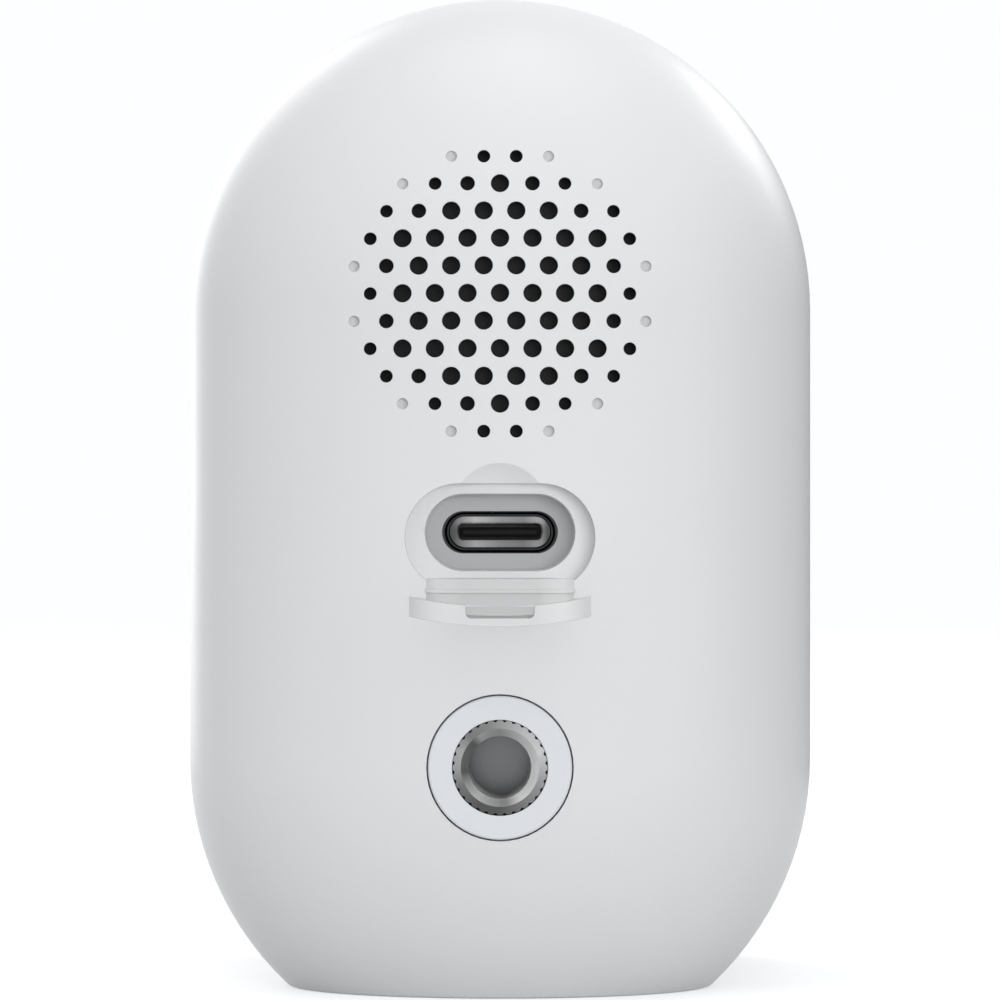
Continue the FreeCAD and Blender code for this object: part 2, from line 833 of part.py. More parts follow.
def usb_tongue():
    base = slot_prism(receptacle_width, receptacle_height, usb_board_y, usb_board_y + tongue_base_length,
                      well_z)
    tongue = block(-tongue_width / 2, tongue_width / 2, usb_board_y, shell_front_y - tongue_setback,
                   well_z - tongue_thickness / 2, well_z + tongue_thickness / 2)
    return base.fuse(tongue)


def usb_contacts():
    contacts = []
    tip_y = shell_front_y - tongue_setback - contact_setback
    for column in range(contact_count):
        x = (column - (contact_count - 1) / 2) * contact_pitch
        low_x = x - contact_width / 2
        high_x = x + contact_width / 2
        face_z = tongue_thickness / 2
        contacts.append(block(low_x, high_x, tip_y - contact_length, tip_y, well_z + face_z,
                              well_z + face_z + contact_thickness))
        contacts.append(block(low_x, high_x, tip_y - contact_length, tip_y,
                              well_z - face_z - contact_thickness,
                              well_z - face_z))
    return group(contacts)


def usb_seal():
    back_y = port_back_y - usb_seal_length
    width = shell_width + 2 * usb_seal_clearance
    height = shell_height + 2 * usb_seal_clearance
    collar = slot_prism(width + 2 * usb_seal_width, height + 2 * usb_seal_width, back_y, port_back_y,
                        well_z)
    return collar.cut(slot_prism(width, height, back_y - 1, port_back_y + 1, well_z))


def usb_board():
    half = usb_board_width / 2
    board = block(-half, half, usb_board_y - board_thickness, usb_board_y, usb_board_bottom,
                  usb_board_bottom + usb_board_height)
    upright = [edge for edge in board.Edges if edge.BoundBox.YLength > board_thickness / 2]
    board = board.makeFillet(usb_board_corner, upright)
    holes = [rod_y(small_hole_radius, usb_board_y - 2, usb_board_y + 1, side * usb_post_x, port_height)
             for side in (-1, 1)]
    return board.cut(holes)


# The flap is laid out closed, in its recess, and then swung open about its hinge.
def swung_open(shape):
    shape.rotate(Vector(0, hinge_y, hinge_z), Vector(1, 0, 0), -90)
    return shape


def port_flap():
    plan = slot_prism(recess_width - 2 * flap_clearance, recess_height - 2 * flap_clearance, dome_y,
                      rear_y + 1,
                      port_height)
    plate = plan.common(dome_body(0, front_y)).cut(dome_body(flap_thickness, front_y - 1))
    root_z = recess_bottom + flap_root_rise
    plate = above(plate, root_z)
    inner_y = rear_y - flap_thickness
    plug_width = well_width - 2 * plug_clearance
    plug_height = well_height - 2 * plug_top_clearance
    plug_end_y = inner_y - plug_length
    plug = slot_prism(plug_width, plug_height, plug_end_y, rear_y - flap_thickness / 2, well_z)
    plug = plug.common(dome_body(flap_thickness / 2, front_y))
    rib_y = plug_end_y + rib_setback
    rib = slot_prism(plug_width + 2 * rib_proud, plug_height + 2 * rib_proud, rib_y, rib_y + rib_height,
                     well_z)
    tip_z = port_height + recess_height / 2 - flap_clearance
    half_notch = thumb_notch_width / 2
    notch = block(-half_notch, half_notch, inner_y - 1, inner_y + thumb_notch_depth,
                  tip_z - thumb_notch_length,
                  tip_z + 1)
    deep_corners = [edge for edge in notch.Edges
                    if edge.BoundBox.YMin > inner_y + thumb_notch_depth - 0.01 and edge.BoundBox.ZLength > 1]
    notch = notch.makeFillet(thumb_notch_depth / 2, deep_corners)
    return swung_open(plate.cut(notch).multiFuse([plug, rib]))


def flap_anchor():
    half = anchor_width / 2
    foot_y = recess_floor_y + anchor_thickness
    strip = block(-half, half, port_back_y, foot_y, anchor_bottom, anchor_top).cut(dome_body(recess_depth,
                                                                                             front_y))
    parts = [strip]
    for x, z in stem_places():
        parts.append(rod_y(stem_radius, port_back_y - barb_length, foot_y - anchor_thickness / 2, x, z))
        barb = turned([(0, port_back_y - barb_length), (stem_radius, port_back_y - barb_length),
                       (barb_radius, port_back_y), (0, port_back_y)], z, x)
        parts.append(barb)
    return parts[0].multiFuse(parts[1:])


# A strap that leaves the anchor, bends over the recess's lower edge and lands on the open flap.
def flap_web():
    start_y = recess_floor_y + anchor_thickness
    start_z = (anchor_bottom + anchor_top) / 2
    bend_y = hinge_y + web_bend_reach
    bend_z = start_z - web_bend_radius
    profile = []
    for radius in (web_bend_radius - web_thickness / 2, web_bend_radius + web_thickness / 2):
        reach = radius * math.sqrt(0.5)
        profile.append([Vector(0, start_y, bend_z + radius), Vector(0, bend_y, bend_z + radius),
                        Vector(0, bend_y + reach, bend_z + reach), Vector(0, bend_y + radius, bend_z)])
    inner, outer = profile
    edges = [Part.makeLine(inner[0], inner[1]), Part.Arc(*inner[1:]).toShape(), Part.makeLine(inner[3],
                                                                                              outer[3]),
             Part.Arc(*reversed(outer[1:])).toShape(), Part.makeLine(outer[1], outer[0]),
             Part.makeLine(outer[0], inner[0])]
    face = Part.Face(Part.Wire(edges))
    face.translate(Vector(-web_width / 2, 0, 0))
    return face.extrude(Vector(web_width, 0, 0))


# ---- tripod insert ----------------------------------------------------------
def thread_insert():
    body = rod_y(insert_radius, insert_back_y, insert_face_y, 0, lower_z)
    bore = rod_y(thread_radius, insert_face_y - thread_length, rear_y, 0, lower_z)
    mouth_depth = thread_mouth_radius - thread_radius
    mouth = turned([(0, insert_face_y - mouth_depth), (thread_radius, insert_face_y - mouth_depth),
                    (thread_mouth_radius, insert_face_y), (thread_mouth_radius, rear_y), (0,
                                                                                          rear_y)], lower_z)
    notches = []
    for step in range(knurl_count):
        angle = 2 * math.pi * step / knurl_count
        notches.append(rod_y(knurl_radius, insert_back_y - 1, rear_y, insert_radius * math.cos(angle),
                             lower_z + insert_radius * math.sin(angle)))
    return body.cut([bore, mouth] + notches)


def insert_ring():
    inner = insert_radius + insert_clearance
    outer = trim_ring_radius
    low_y = ring_face_y - trim_ring_height
    edge = trim_ring_edge
    return turned([(inner, low_y), (outer, low_y), (outer, ring_face_y - edge), (outer - edge, ring_face_y),
                   (inner + edge / 2, ring_face_y), (inner, ring_face_y - edge / 2)], lower_z)


# ---- speaker ----------------------------------------------------------------
def speaker_mesh():
    disc = rod_y(rim_inner_radius, speaker_seat_y, rear_y, 0, grille_z)
    inset = wall + mesh_clearance
    return disc.common(dome_body(inset, front_y)).cut(dome_body(inset + mesh_thickness, front_y - 1))


def speaker_gasket():
    return tube_y(speaker_radius, gasket_inner_radius, rim_front_y, speaker_seat_y, 0, grille_z)


def speaker_basket():
    outer = speaker_radius
    inner = rim_inner_radius
    profile = [(outer, rim_front_y), (outer, rim_back_y), (inner + 0.4, rim_back_y),
               (yoke_outer_radius + 2.0, basket_floor_y), (yoke_outer_radius, basket_floor_y),
               (yoke_outer_radius, basket_floor_y + basket_wall),
               (yoke_outer_radius + 1.6, basket_floor_y + basket_wall), (inner - ledge_width,
                                                                         rim_back_y + 0.2),
               (inner - ledge_width, ledge_y), (inner, ledge_y), (inner, rim_front_y)]
    basket = turned(profile, grille_z)
    vents = []
    for step in range(vent_count):
        vent = block(yoke_outer_radius + 1.2, inner - 0.6, basket_floor_y - 1, rim_back_y - 0.4,
                     -vent_width / 2,
                     vent_width / 2)
        vent.rotate(Vector(0, 0, 0), Vector(0, 1, 0), 360 * step / vent_count)
        vent.translate(Vector(0, 0, grille_z))
        vents.append(vent)
    return basket.cut(vents)


# The surround is a half roll between the basket's rim and the cone's edge.
def speaker_surround():
    outer = rim_inner_radius
    inner = cone_edge_radius
    top_y = ledge_y + surround_thickness
    middle = (outer - ledge_width + inner) / 2
    profile = [(outer, ledge_y), (outer - ledge_width, ledge_y), (middle + 0.5, ledge_y + surround_roll),
               (middle - 0.5, ledge_y + surround_roll), (inner, ledge_y), (inner, top_y),
               (middle - 0.6, top_y + surround_roll), (middle + 0.6, top_y + surround_roll),
               (outer - ledge_width + 0.1, top_y), (outer, top_y)]
    return turned(profile, grille_z)


def speaker_cone():
    edge = cone_edge_radius - 0.05
    edge_y = ledge_y + surround_thickness
    neck = coil_radius + coil_thickness
    neck_y = edge_y - cone_slope
    thickness = cone_thickness
    profile = [(0, neck_y + 1.0), (neck * 0.6, neck_y + 0.7), (neck, neck_y), (edge - 0.8, edge_y),
               (edge, edge_y),
               (edge, edge_y - thickness), (edge - 0.7, edge_y - thickness), (neck, neck_y - thickness),
               (neck * 0.6, neck_y + 0.7 - thickness), (0, neck_y + 1.0 - thickness)]
    return turned(profile, grille_z)


def coil_front_y():
    return ledge_y + surround_thickness - cone_slope - cone_thickness


def voice_coil():
    front = coil_front_y()
    return tube_y(coil_radius + coil_thickness, coil_radius, front - coil_length, front, 0, grille_z)


def speaker_yoke():
    floor = rod_y(yoke_outer_radius, yoke_back_y, yoke_back_y + yoke_floor, 0, grille_z)
    cup = tube_y(yoke_outer_radius, yoke_inner_radius, yoke_back_y, yoke_front_y, 0, grille_z)
    return floor.fuse(cup)


def speaker_magnet():
    floor_y = yoke_back_y + yoke_floor
    plate_y = yoke_front_y - top_plate_thickness
    magnet = rod_y(magnet_radius - top_plate_overhang, floor_y, plate_y, 0, grille_z)
    plate = rod_y(magnet_radius, plate_y, yoke_front_y, 0, grille_z)
    return group([magnet, plate])


def speaker_clamp():
    outer = speaker_radius + speaker_boss_wall
    back_y = rim_back_y - clamp_ring_thickness
    ring = rod_y(outer, back_y, rim_back_y, 0, grille_z)
    ears = [rod_y(speaker_post_radius + speaker_post_clearance, back_y, rim_back_y,
                  side * speaker_ear_reach, grille_z)
            for side in (-1, 1)]
    ring = ring.multiFuse(ears).common(dome_body(wall + shell_clearance, front_y))
    cutters = [rod_y(speaker_radius - clamp_ring_lap, back_y - 1, rim_back_y + 1, 0, grille_z)]
    cutters += [rod_y(small_hole_radius, back_y - 1, rim_back_y + 1, side * speaker_ear_reach, grille_z)
                for side in (-1, 1)]
    return ring.cut(cutters)


# ---- battery and core frame -------------------------------------------------
def battery_cell(x):
    can_top = cell_top - cell_button_height
    can = rod_z(cell_radius, cell_bottom, can_top, x, cell_depth)
    ends = [edge for edge in can.Edges if edge.BoundBox.ZLength < 0.01]
    can = can.makeFillet(cell_edge_radius, ends)
    button = rod_z(cell_button_radius, can_top - 0.2, cell_top, x, cell_depth)
    return can.fuse(button)


def battery_tabs():
    half_tab = tab_width / 2
    top = block(-cell_x - half_tab, cell_x + half_tab, cell_depth - half_tab, cell_depth + half_tab,
                cell_top,
                cell_top + tab_thickness)
    bottom = top.copy()
    bottom.translate(Vector(0, 0, -cell_length - tab_thickness))
    return group([top, bottom])


def core_frame():
    frame = block(-frame_half_width, frame_half_width, frame_front_y, frame_back_y, frame_bottom, frame_top)
    upright = [edge for edge in frame.Edges if edge.BoundBox.YLength > 1 and edge.BoundBox.XLength < 0.01
               and edge.BoundBox.ZLength < 0.01]
    frame = frame.makeFillet(frame_corner_radius, upright)
    extras = []
    for z in strap_heights:
        extras.append(block(-strap_reach, strap_reach, frame_back_y - strap_ledge, frame_back_y,
                            z - strap_width / 2, z + strap_width / 2))
    for x, z in frame_post_places():
        side = 1 if x > 0 else -1
        outer_x = side * (frame_post_offset + ear_overhang)
        inner_x = side * (frame_half_width - ear_root)
        extras.append(block(min(inner_x, outer_x), max(inner_x, outer_x), frame_front_y,
                            frame_front_y + ear_thickness, z - ear_overhang, z + ear_overhang))
    for x, z in board_screw_places():
        extras.append(rod_y(standoff_radius, board_back_y, frame_front_y, x, z))
    frame = frame.multiFuse(extras).removeSplitter()
    cutters = []
    for side in (-1, 1):
        pocket = rod_z(cell_radius + cell_clearance, cell_bottom - tab_thickness, cell_top + tab_thickness,
                       side * cell_x, cell_depth)
        cutters.append(pocket)
        cutters += [pilot(side * strap_ear_x, z, frame_back_y, -1) for z in strap_heights]
    middle = block(-cell_x, cell_x, cell_depth - cell_radius / 2, cell_depth + 1,
                   cell_bottom - tab_thickness,
                   cell_top + tab_thickness)
    cutters.append(middle)
    for x, z in frame_post_places():
        cutters.append(rod_y(small_hole_radius, frame_front_y - 1, frame_front_y + ear_thickness + 1, x, z))
    for x, z in board_screw_places():
        cutters.append(rod_y(small_screw_radius + pilot_clearance, board_back_y - 1,
                             frame_front_y + standoff_pilot, x, z))
    return frame.cut(cutters)


def battery_clamps():
    straps = []
    outer = cell_radius + cell_clearance + strap_thickness
    for z in strap_heights:
        low_z = z - strap_width / 2
        high_z = z + strap_width / 2
        shapes = [rod_z(outer, low_z, high_z, side * cell_x, cell_depth) for side in (-1, 1)]
        bridge_y = cell_depth + outer
        shapes.append(block(-cell_x, cell_x, cell_depth, bridge_y, low_z, high_z))
        shapes.append(block(-strap_reach, strap_reach, cell_depth, cell_depth + strap_thickness, low_z, high_z))
        strap = behind(shapes[0].multiFuse(shapes[1:]), cell_depth)
        cutters = [rod_z(cell_radius + cell_clearance, low_z - 1, high_z + 1, side * cell_x, cell_depth)
                   for side in (-1, 1)]
        cutters.append(block(-cell_x, cell_x, cell_depth - 1, bridge_y - strap_thickness, low_z - 1,
                             high_z + 1))
        for side in (-1, 1):
            cutters.append(rod_y(small_hole_radius, cell_depth - 1, cell_depth + strap_thickness + 1,
                                 side * strap_ear_x, z))
        straps.append(strap.cut(cutters))
    return group(straps)


def protection_board():
    half = protection_board_width / 2
    return block(-half, half, cell_depth - protection_board_front, cell_depth + protection_board_rear,
                 frame_top,
                 frame_top + board_thickness)


def battery_leads():
    leads = []
    for x in (battery_socket_x - battery_lead_pitch / 2, battery_socket_x + battery_lead_pitch / 2):
        start = (x - 3.5, cell_depth - 3, frame_top + board_thickness + 0.6)
        leads.append(wire_lead([start, (x - 2, frame_front_y + 3.0, frame_top + 3.2),
                                (x, board_front_y - 0.6, frame_top + 0.5), (x, board_front_y - 1.2,
                                                                            lens_z + 4),
                                (x, board_front_y - 1.1, main_board_top + 0.1)], battery_lead_radius))
    return group(leads)


# ---- boards -----------------------------------------------------------------
def main_screw_places():
    heights = (main_board_bottom + main_screw_rise, main_board_top - main_screw_drop)
    return [(side * main_screw_x, z) for side in (-1, 1) for z in heights]


def sensor_screw_places():
    return [(-sensor_screw_x, sensor_board_top - sensor_screw_drop),
            (sensor_screw_x, sensor_board_bottom + sensor_screw_rise)]


def board_screw_places():
    return main_screw_places() + sensor_screw_places()


def main_board():
    board = above(body_prism(main_board_margin, board_front_y, board_back_y), main_board_bottom)
    reach = 2 * top_z
    board = board.common(block(-reach, reach, -reach, reach, 0, main_board_top))
    holes = [rod_y(small_hole_radius, board_front_y - 1, board_back_y + 1, x, z)
             for x, z in main_screw_places()]
    return board.cut(holes)


def sensor_board():
    half = sensor_board_width / 2
    board = block(-half, half, board_front_y, board_back_y, sensor_board_bottom, sensor_board_top)
    holes = [rod_y(small_hole_radius, board_front_y - 1, board_back_y + 1, x, z)
             for x, z in sensor_screw_places()]
    return board.cut(holes)


# A chip or connector on a board's front face. Its size is (width, height, rise).
def seated(x, z, face_y, size):
    width, height, rise = size
    return block(x - width / 2, x + width / 2, face_y - rise, face_y, z - height / 2, z + height / 2)


def processor_shield():
    width, height, rise = shield_size
    can = seated(0, shield_z, board_front_y, shield_size)
    front_y_limit = board_front_y - rise + shield_sheet
    edges = [edge for edge in can.Edges if edge.BoundBox.YMax < front_y_limit or edge.BoundBox.YLength > 1]
    can = can.makeFillet(shield_edge_radius, edges)
    room = (width - 2 * shield_sheet, height - 2 * shield_sheet, rise - shield_sheet)
    return can.cut(seated(0, shield_z, board_front_y, room))


# Processor, memory and power parts on the main board, then the status light, light sensor and microphone.
def board_chips():
    chips = [seated(processor_x, shield_z, board_front_y, processor_size),
             seated(memory_x, shield_z + memory_rise, board_front_y, memory_size)]
    for side in (-1, 1):
        chips += [seated(side * inductor_x, pir_height + offset, board_front_y, inductor_size)
                  for offset in (0, inductor_pitch)]
    chips.append(seated(0, status_z, led_board_front_y, status_light_size))
    chips.append(seated(light_sensor_x, lens_z + light_sensor_rise, led_board_front_y, light_sensor_size))
    chips.append(seated(0, mic_z, led_board_back_y + microphone_size[2], microphone_size))
    return group(chips)


def board_connectors():
    edge_x = ribbon_x + ribbon_socket_size[0] / 2
    half_socket = ribbon_socket_size[0] / 2
    sockets = [seated(battery_socket_x, main_board_top - battery_socket_drop, board_front_y,
                      battery_socket_size),
               seated(-speaker_socket_x, main_board_top - speaker_socket_drop, board_front_y,
                      speaker_socket_size),
               seated(-ribbon_x, main_board_bottom + ribbon_socket_rise, board_front_y, ribbon_socket_size),
               seated(0, main_board_top - camera_socket_margin, board_front_y, camera_socket_size),
               seated(0, sensor_board_bottom + camera_socket_margin, board_front_y, camera_socket_size)]
    flex_back_y = board_front_y - camera_socket_size[2]
    flex_reach = board_gap / 2 + camera_socket_margin + flex_lap
    flex_z = (main_board_top + sensor_board_bottom) / 2
    flex = block(-flex_width / 2, flex_width / 2, flex_back_y - flex_thickness, flex_back_y,
                 flex_z - flex_reach,
                 flex_z + flex_reach)
    usb_low_z = usb_board_bottom + usb_socket_margin
    usb_side = block(-edge_x, 2 * half_socket - edge_x, usb_board_y, usb_board_y + ribbon_socket_size[2],
                     usb_low_z, usb_low_z + usb_socket_height)
    return group(sockets + [flex, usb_side])


def wifi_module():
    can = seated(0, pir_height + wifi_rise, board_front_y, wifi_size)
    edges = [edge for edge in can.Edges if edge.BoundBox.YLength > 1]
    return can.makeFillet(wifi_edge_radius, edges)


# A flat cable from the port board, down behind the cells and under the core frame, to the main board.
def usb_ribbon():
    low_z = usb_board_bottom
    down_y = usb_board_y + ribbon_socket_size[2] / 2
    under_z = (base_thickness + frame_bottom) / 2
    front = board_front_y - ribbon_socket_size[2] / 2
    points = [(0, down_y, low_z + 0.2), (0, down_y, low_z - 8), (0, down_y + 0.4, low_z - 16),
              (0, down_y, under_z + 3), (0, down_y - 3, under_z), (0, 2, under_z - 0.05),
              (0, front + 3, under_z), (0, front, under_z + 1.2), (0, front, main_board_bottom + 1.4)]
    start = Vector(*points[0])
    half_width = ribbon_width / 2
    half_sheet = ribbon_thickness / 2
    corners = [start + Vector(across, depth, 0)
               for across, depth in ((-half_width, -half_sheet), (half_width, -half_sheet),
                                     (half_width, half_sheet), (-half_width, half_sheet))]
    section = Part.makePolygon(corners + corners[:1])
    ribbon = soft_path(points).makePipeShell([section], True, False)
    ribbon.translate(Vector(-ribbon_x, 0, 0))
    return ribbon


def speaker_leads():
    leads = []
    for offset in (0, 1.4):
        z = grille_z - 6 - offset
        start = (speaker_radius - 0.6, rim_back_y - clamp_ring_thickness - 0.7, z)
        side_x = frame_half_width + 2.2
        leads.append(wire_lead([(-start[0], start[1], start[2]), (-speaker_radius - 3, start[1] - 2, z - 1),
                                (-side_x, 6.0, z - 3), (-side_x - 0.3, 0, z - 5), (-side_x + 0.2, -6.0,
                                                                                   z - 7),
                                (-side_x + 2.2, board_front_y - 0.6, z - 8),
                                (-speaker_socket_x - 2, board_front_y - 1.1,
                                 main_board_top - 1.2 - offset)], speaker_lead_radius))
    return group(leads)


# ---- sync button ------------------------------------------------------------
def sync_button():
    y = button_depth_position
    cap = rod_z(button_radius, button_recess, base_thickness + button_seal_thickness, 0, y)
    top = [edge for edge in cap.Edges if edge.BoundBox.ZMax < button_recess + 0.01]
    cap = cap.makeFillet(button_edge_radius, top)
    flange_z = base_thickness + button_seal_thickness
    flange = rod_z(button_radius + button_flange, flange_z, flange_z + button_flange_thickness, 0, y)
    stem_top = switch_z - button_travel - button_stem_gap
    stem = rod_z(button_stem_radius, flange_z, stem_top, 0, y)
    return cap.multiFuse([flange, stem])


def button_seal():
    y = button_depth_position
    seal_top = base_thickness + button_seal_thickness
    ring = rod_z(button_radius + button_flange, base_thickness, seal_top, 0, y)
    return ring.cut(rod_z(button_radius + button_clearance, 0, 2 * base_thickness, 0, y))


def switch_body():
    y = button_depth_position
    half = switch_width / 2
    body = block(-half, half, y - switch_reach, board_front_y, switch_z, switch_z + switch_height)
    upright = [edge for edge in body.Edges if edge.BoundBox.ZLength > 1]
    return body.makeFillet(button_edge_radius, upright)


# ---- lens and sensors -------------------------------------------------------
def led_places():
    reach = led_circle_radius * math.sqrt(0.5)
    return [(side * reach, lens_z + rise * reach) for side in (-1, 1) for rise in (-1, 1)]


def lens_holder():
    half = holder_width / 2
    body = block(-half, half, holder_front_y, board_front_y, lens_z - half, lens_z + half)
    upright = [edge for edge in body.Edges if edge.BoundBox.YLength > 1]
    body = body.makeFillet(holder_corner_radius, upright)
    slot_height = filter_window + 2 * filter_frame + 2 * filter_clearance
    cutters = [seated(0, lens_z, board_front_y, (sensor_room, sensor_room, sensor_room_depth))]
    cutters.append(block(-half - 1, half + 1, filter_slot_front_y, filter_slot_y, lens_z - slot_height / 2,
                         lens_z + slot_height / 2))
    cutters.append(rod_y(filter_window / 2 - 0.2, holder_front_y, board_front_y, 0, lens_z))
    cutters.append(rod_y(lens_rear_radius + lens_seat_clearance, holder_front_y - 1, holder_bore_y, 0,
                         lens_z))
    return body.cut(cutters)


def filter_slide():
    half = filter_window / 2
    outer = half + filter_frame
    back_y = filter_slot_y - filter_clearance
    front = back_y - filter_thickness
    slide = block(-outer, filter_spacing + outer, front, back_y, lens_z - outer, lens_z + outer)
    windows = [block(x - half, x + half, front - 1, back_y + 1, lens_z - half, lens_z + half)
               for x in (0, filter_spacing)]
    return slide.cut(windows)


def filter_glass():
    half = filter_window / 2 - 0.02
    back_y = filter_slot_y - filter_clearance - 0.1
    return group([block(x - half, x + half, back_y - 0.3, back_y, lens_z - half, lens_z + half)
                  for x in (0, filter_spacing)])


def image_sensor():
    return seated(0, lens_z, board_front_y, sensor_size)


def lens_barrel():
    back_y = holder_bore_y
    step_y = led_board_back_y + board_gap
    tip_y = lens_tip_y
    front_bore = lens_front_radius - 1.1
    rear_bore = lens_rear_radius - 0.8
    lip_y = back_y - barrel_lip
    profile = [(lens_front_radius - barrel_wall, tip_y), (lens_front_radius, tip_y), (lens_front_radius,
                                                                                      step_y),
               (lens_rear_radius, step_y), (lens_rear_radius, back_y), (barrel_stop_radius, back_y),
               (barrel_stop_radius, lip_y), (rear_bore, lip_y), (rear_bore, tip_y + 3.4),
               (front_bore, tip_y + 3.4), (front_bore, tip_y + 0.5)]
    return turned(profile, lens_z)


# A round element between two shallow spherical faces.
def lens_element(radius, y_front, thickness, front_bulge, rear_bulge):
    y_back = y_front + thickness
    element = rod_y(radius, y_front - front_bulge, y_back + rear_bulge, 0, lens_z)
    front_ball = (radius ** 2 + front_bulge ** 2) / (2 * front_bulge)
    rear_ball = (radius ** 2 + rear_bulge ** 2) / (2 * rear_bulge)
    element = element.common(Part.makeSphere(front_ball, Vector(0, y_front - front_bulge + front_ball,
                                                                lens_z)))
    return element.common(Part.makeSphere(rear_ball, Vector(0, y_back + rear_bulge - rear_ball, lens_z)))


def lens_elements():
    tip_y = lens_tip_y
    back_y = holder_bore_y - barrel_lip - 0.3
    front_radius = lens_front_radius - 1.15
    rear_radius = lens_rear_radius - 0.85
    front = lens_element(front_radius, tip_y + 1.3, 1.7, 1.0, 0.3)
    middle = lens_element(rear_radius, tip_y + 4.3, 1.4, 0.3, 0.4)
    rear = lens_element(rear_radius, back_y - 1.3, 1.0, 0.3, 0.2)
    return group([front, middle, rear])


def lens_trim_ring():
    lip_y = front_y + trim_lip_thickness
    pocket = cover_glass_radius + 0.05
    profile = [(trim_lip_radius, front_y + 0.3), (trim_lip_radius + 0.5, front_y), (trim_outer_radius - 0.4,
                                                                                    front_y),
               (trim_outer_radius, front_y + 0.4), (trim_outer_radius, plate_front_y), (pocket,
                                                                                        plate_front_y),
               (pocket, lip_y), (trim_lip_radius, lip_y)]
    return turned(profile, lens_z)


def lens_cover_glass():
    low_y = front_y + trim_lip_thickness
    return rod_y(cover_glass_radius, low_y, low_y + cover_glass_thickness, 0, lens_z)


def led_board():
    board = tube_y(led_board_radius, lens_front_radius + 0.5, led_board_front_y, led_board_back_y, 0,
                   lens_z)
    holes = [rod_y(small_hole_radius, led_board_front_y - 1, led_board_back_y + 1, side * led_post_x,
                   lens_z)
             for side in (-1, 1)]
    holes.append(rod_y(mic_hole_radius, led_board_front_y - 1, led_board_back_y + 1, 0,
                       mic_z))
    return board.cut(holes)


def ir_leds():
    leds = []
    half = led_base_size / 2
    for x, z in led_places():
        base = block(x - half, x + half, led_board_front_y - 0.8, led_board_front_y, z - half, z + half)
        dome = Part.makeSphere(led_dome_radius, Vector(x, led_board_front_y - 0.8, z))
        leds.append(base.fuse(in_front_of(dome, led_board_front_y - 0.4)))
    return group(leds)


def light_pipe():
    end_y = led_board_front_y - status_light_size[2]
    return rod_y(light_pipe_radius, plate_front_y, end_y, 0, status_z)


def mic_boot():
    return tube_y(mic_boot_radius, mic_hole_radius + mic_hole_step / 2, plate_back_y, led_board_front_y, 0,
                  mic_z)


def pir_lens():
    dome_height = plate_front_y - front_y
    ball = (pir_lens_radius ** 2 + dome_height ** 2) / (2 * dome_height)
    center = Vector(0, front_y + ball, pir_height)
    outside = in_front_of(Part.makeSphere(ball, center), plate_front_y)
    inside = in_front_of(Part.makeSphere(ball - pir_shell, center),
                         plate_front_y + pir_flange_thickness + 1)
    flange = rod_y(pir_flange_radius, plate_front_y, plate_front_y + pir_flange_thickness, 0, pir_height)
    bore = rod_y(pir_lens_radius - 2 * pir_shell, plate_front_y, rear_y, 0, pir_height)
    return outside.fuse(flange).cut([inside, bore])


def pir_sensor():
    base_y = board_front_y
    can = rod_y(pir_can_radius - 0.5, base_y - pir_can_height, base_y, 0, pir_height)
    flange = rod_y(pir_can_radius, base_y - 0.8, base_y, 0, pir_height)
    window = block(-1.6, 1.6, base_y - pir_can_height - 0.2, base_y - pir_can_height + 0.2,
                   pir_height - 1.3,
                   pir_height + 1.3)
    return can.multiFuse([flange, window])


# ---- fasteners --------------------------------------------------------------
def housing_screws():
    seat_y = plate_front_y + closing_head_height + closing_head_setback
    return group([screw(x, z, seat_y, 1, closing_screw_radius, closing_head_radius, closing_head_height,
                        closing_screw_length) for x, z in closing_screw_places()])


def board_screws():
    screws = [small_screw(x, z, board_front_y, 1) for x, z in main_screw_places()]
    screws += [small_screw(x, z, board_front_y, 1, small_screw_length - 0.6) for x,
               z in sensor_screw_places()]
    for side in (-1, 1):
        screws.append(small_screw(side * usb_post_x, port_height, usb_board_y - board_thickness, 1))
        screws.append(small_screw(side * led_post_x, lens_z, led_board_back_y, -1,
                                  small_screw_length - 0.5))
    return group(screws)


def clamp_screws():
    screws = []
    for side in (-1, 1):
        screws.append(small_screw(side * speaker_ear_reach, grille_z, rim_back_y - clamp_ring_thickness, 1))
        for z in strap_heights:
            screws.append(small_screw(side * strap_ear_x, z, cell_depth + strap_thickness, -1))
    for x, z in frame_post_places():
        screws.append(small_screw(x, z, frame_front_y + ear_thickness, -1, small_screw_length + 1))
    return group(screws)


# ---- export -----------------------------------------------------------------
form = outer_form()
export("rear_housing", rear_housing(form))
export("front_frame", front_frame(form))
export("housing_seal", seal_band())
export("base_pad", pad_form(pad_clearance))
export("battery_cell_left", battery_cell(-cell_x))
export("battery_cell_right", battery_cell(cell_x))
pieces = [front_window, window_adhesive, housing_screws, port_flap, flap_web, flap_anchor, usb_shell,
          usb_tongue,
          usb_contacts, usb_seal, usb_board, usb_ribbon, thread_insert, insert_ring, speaker_mesh, speaker_gasket,
          speaker_basket, speaker_surround, speaker_cone, voice_coil, speaker_yoke, speaker_magnet, speaker_clamp,
          battery_tabs, protection_board, battery_clamps, battery_leads, core_frame, main_board, processor_shield,
          board_chips, board_connectors, wifi_module, speaker_leads, sync_button, button_seal, switch_body,
          sensor_board, image_sensor, lens_holder, filter_slide, filter_glass, lens_barrel, lens_elements,
          lens_trim_ring, lens_cover_glass, led_board, ir_leds, light_pipe, mic_boot, pir_lens, pir_sensor,
          board_screws, clamp_screws]
for piece in pieces:
    export(piece.__name__, piece())
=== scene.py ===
import bpy
import bmesh
import json
import math
import numpy as np
from mathutils import Matrix, Vector


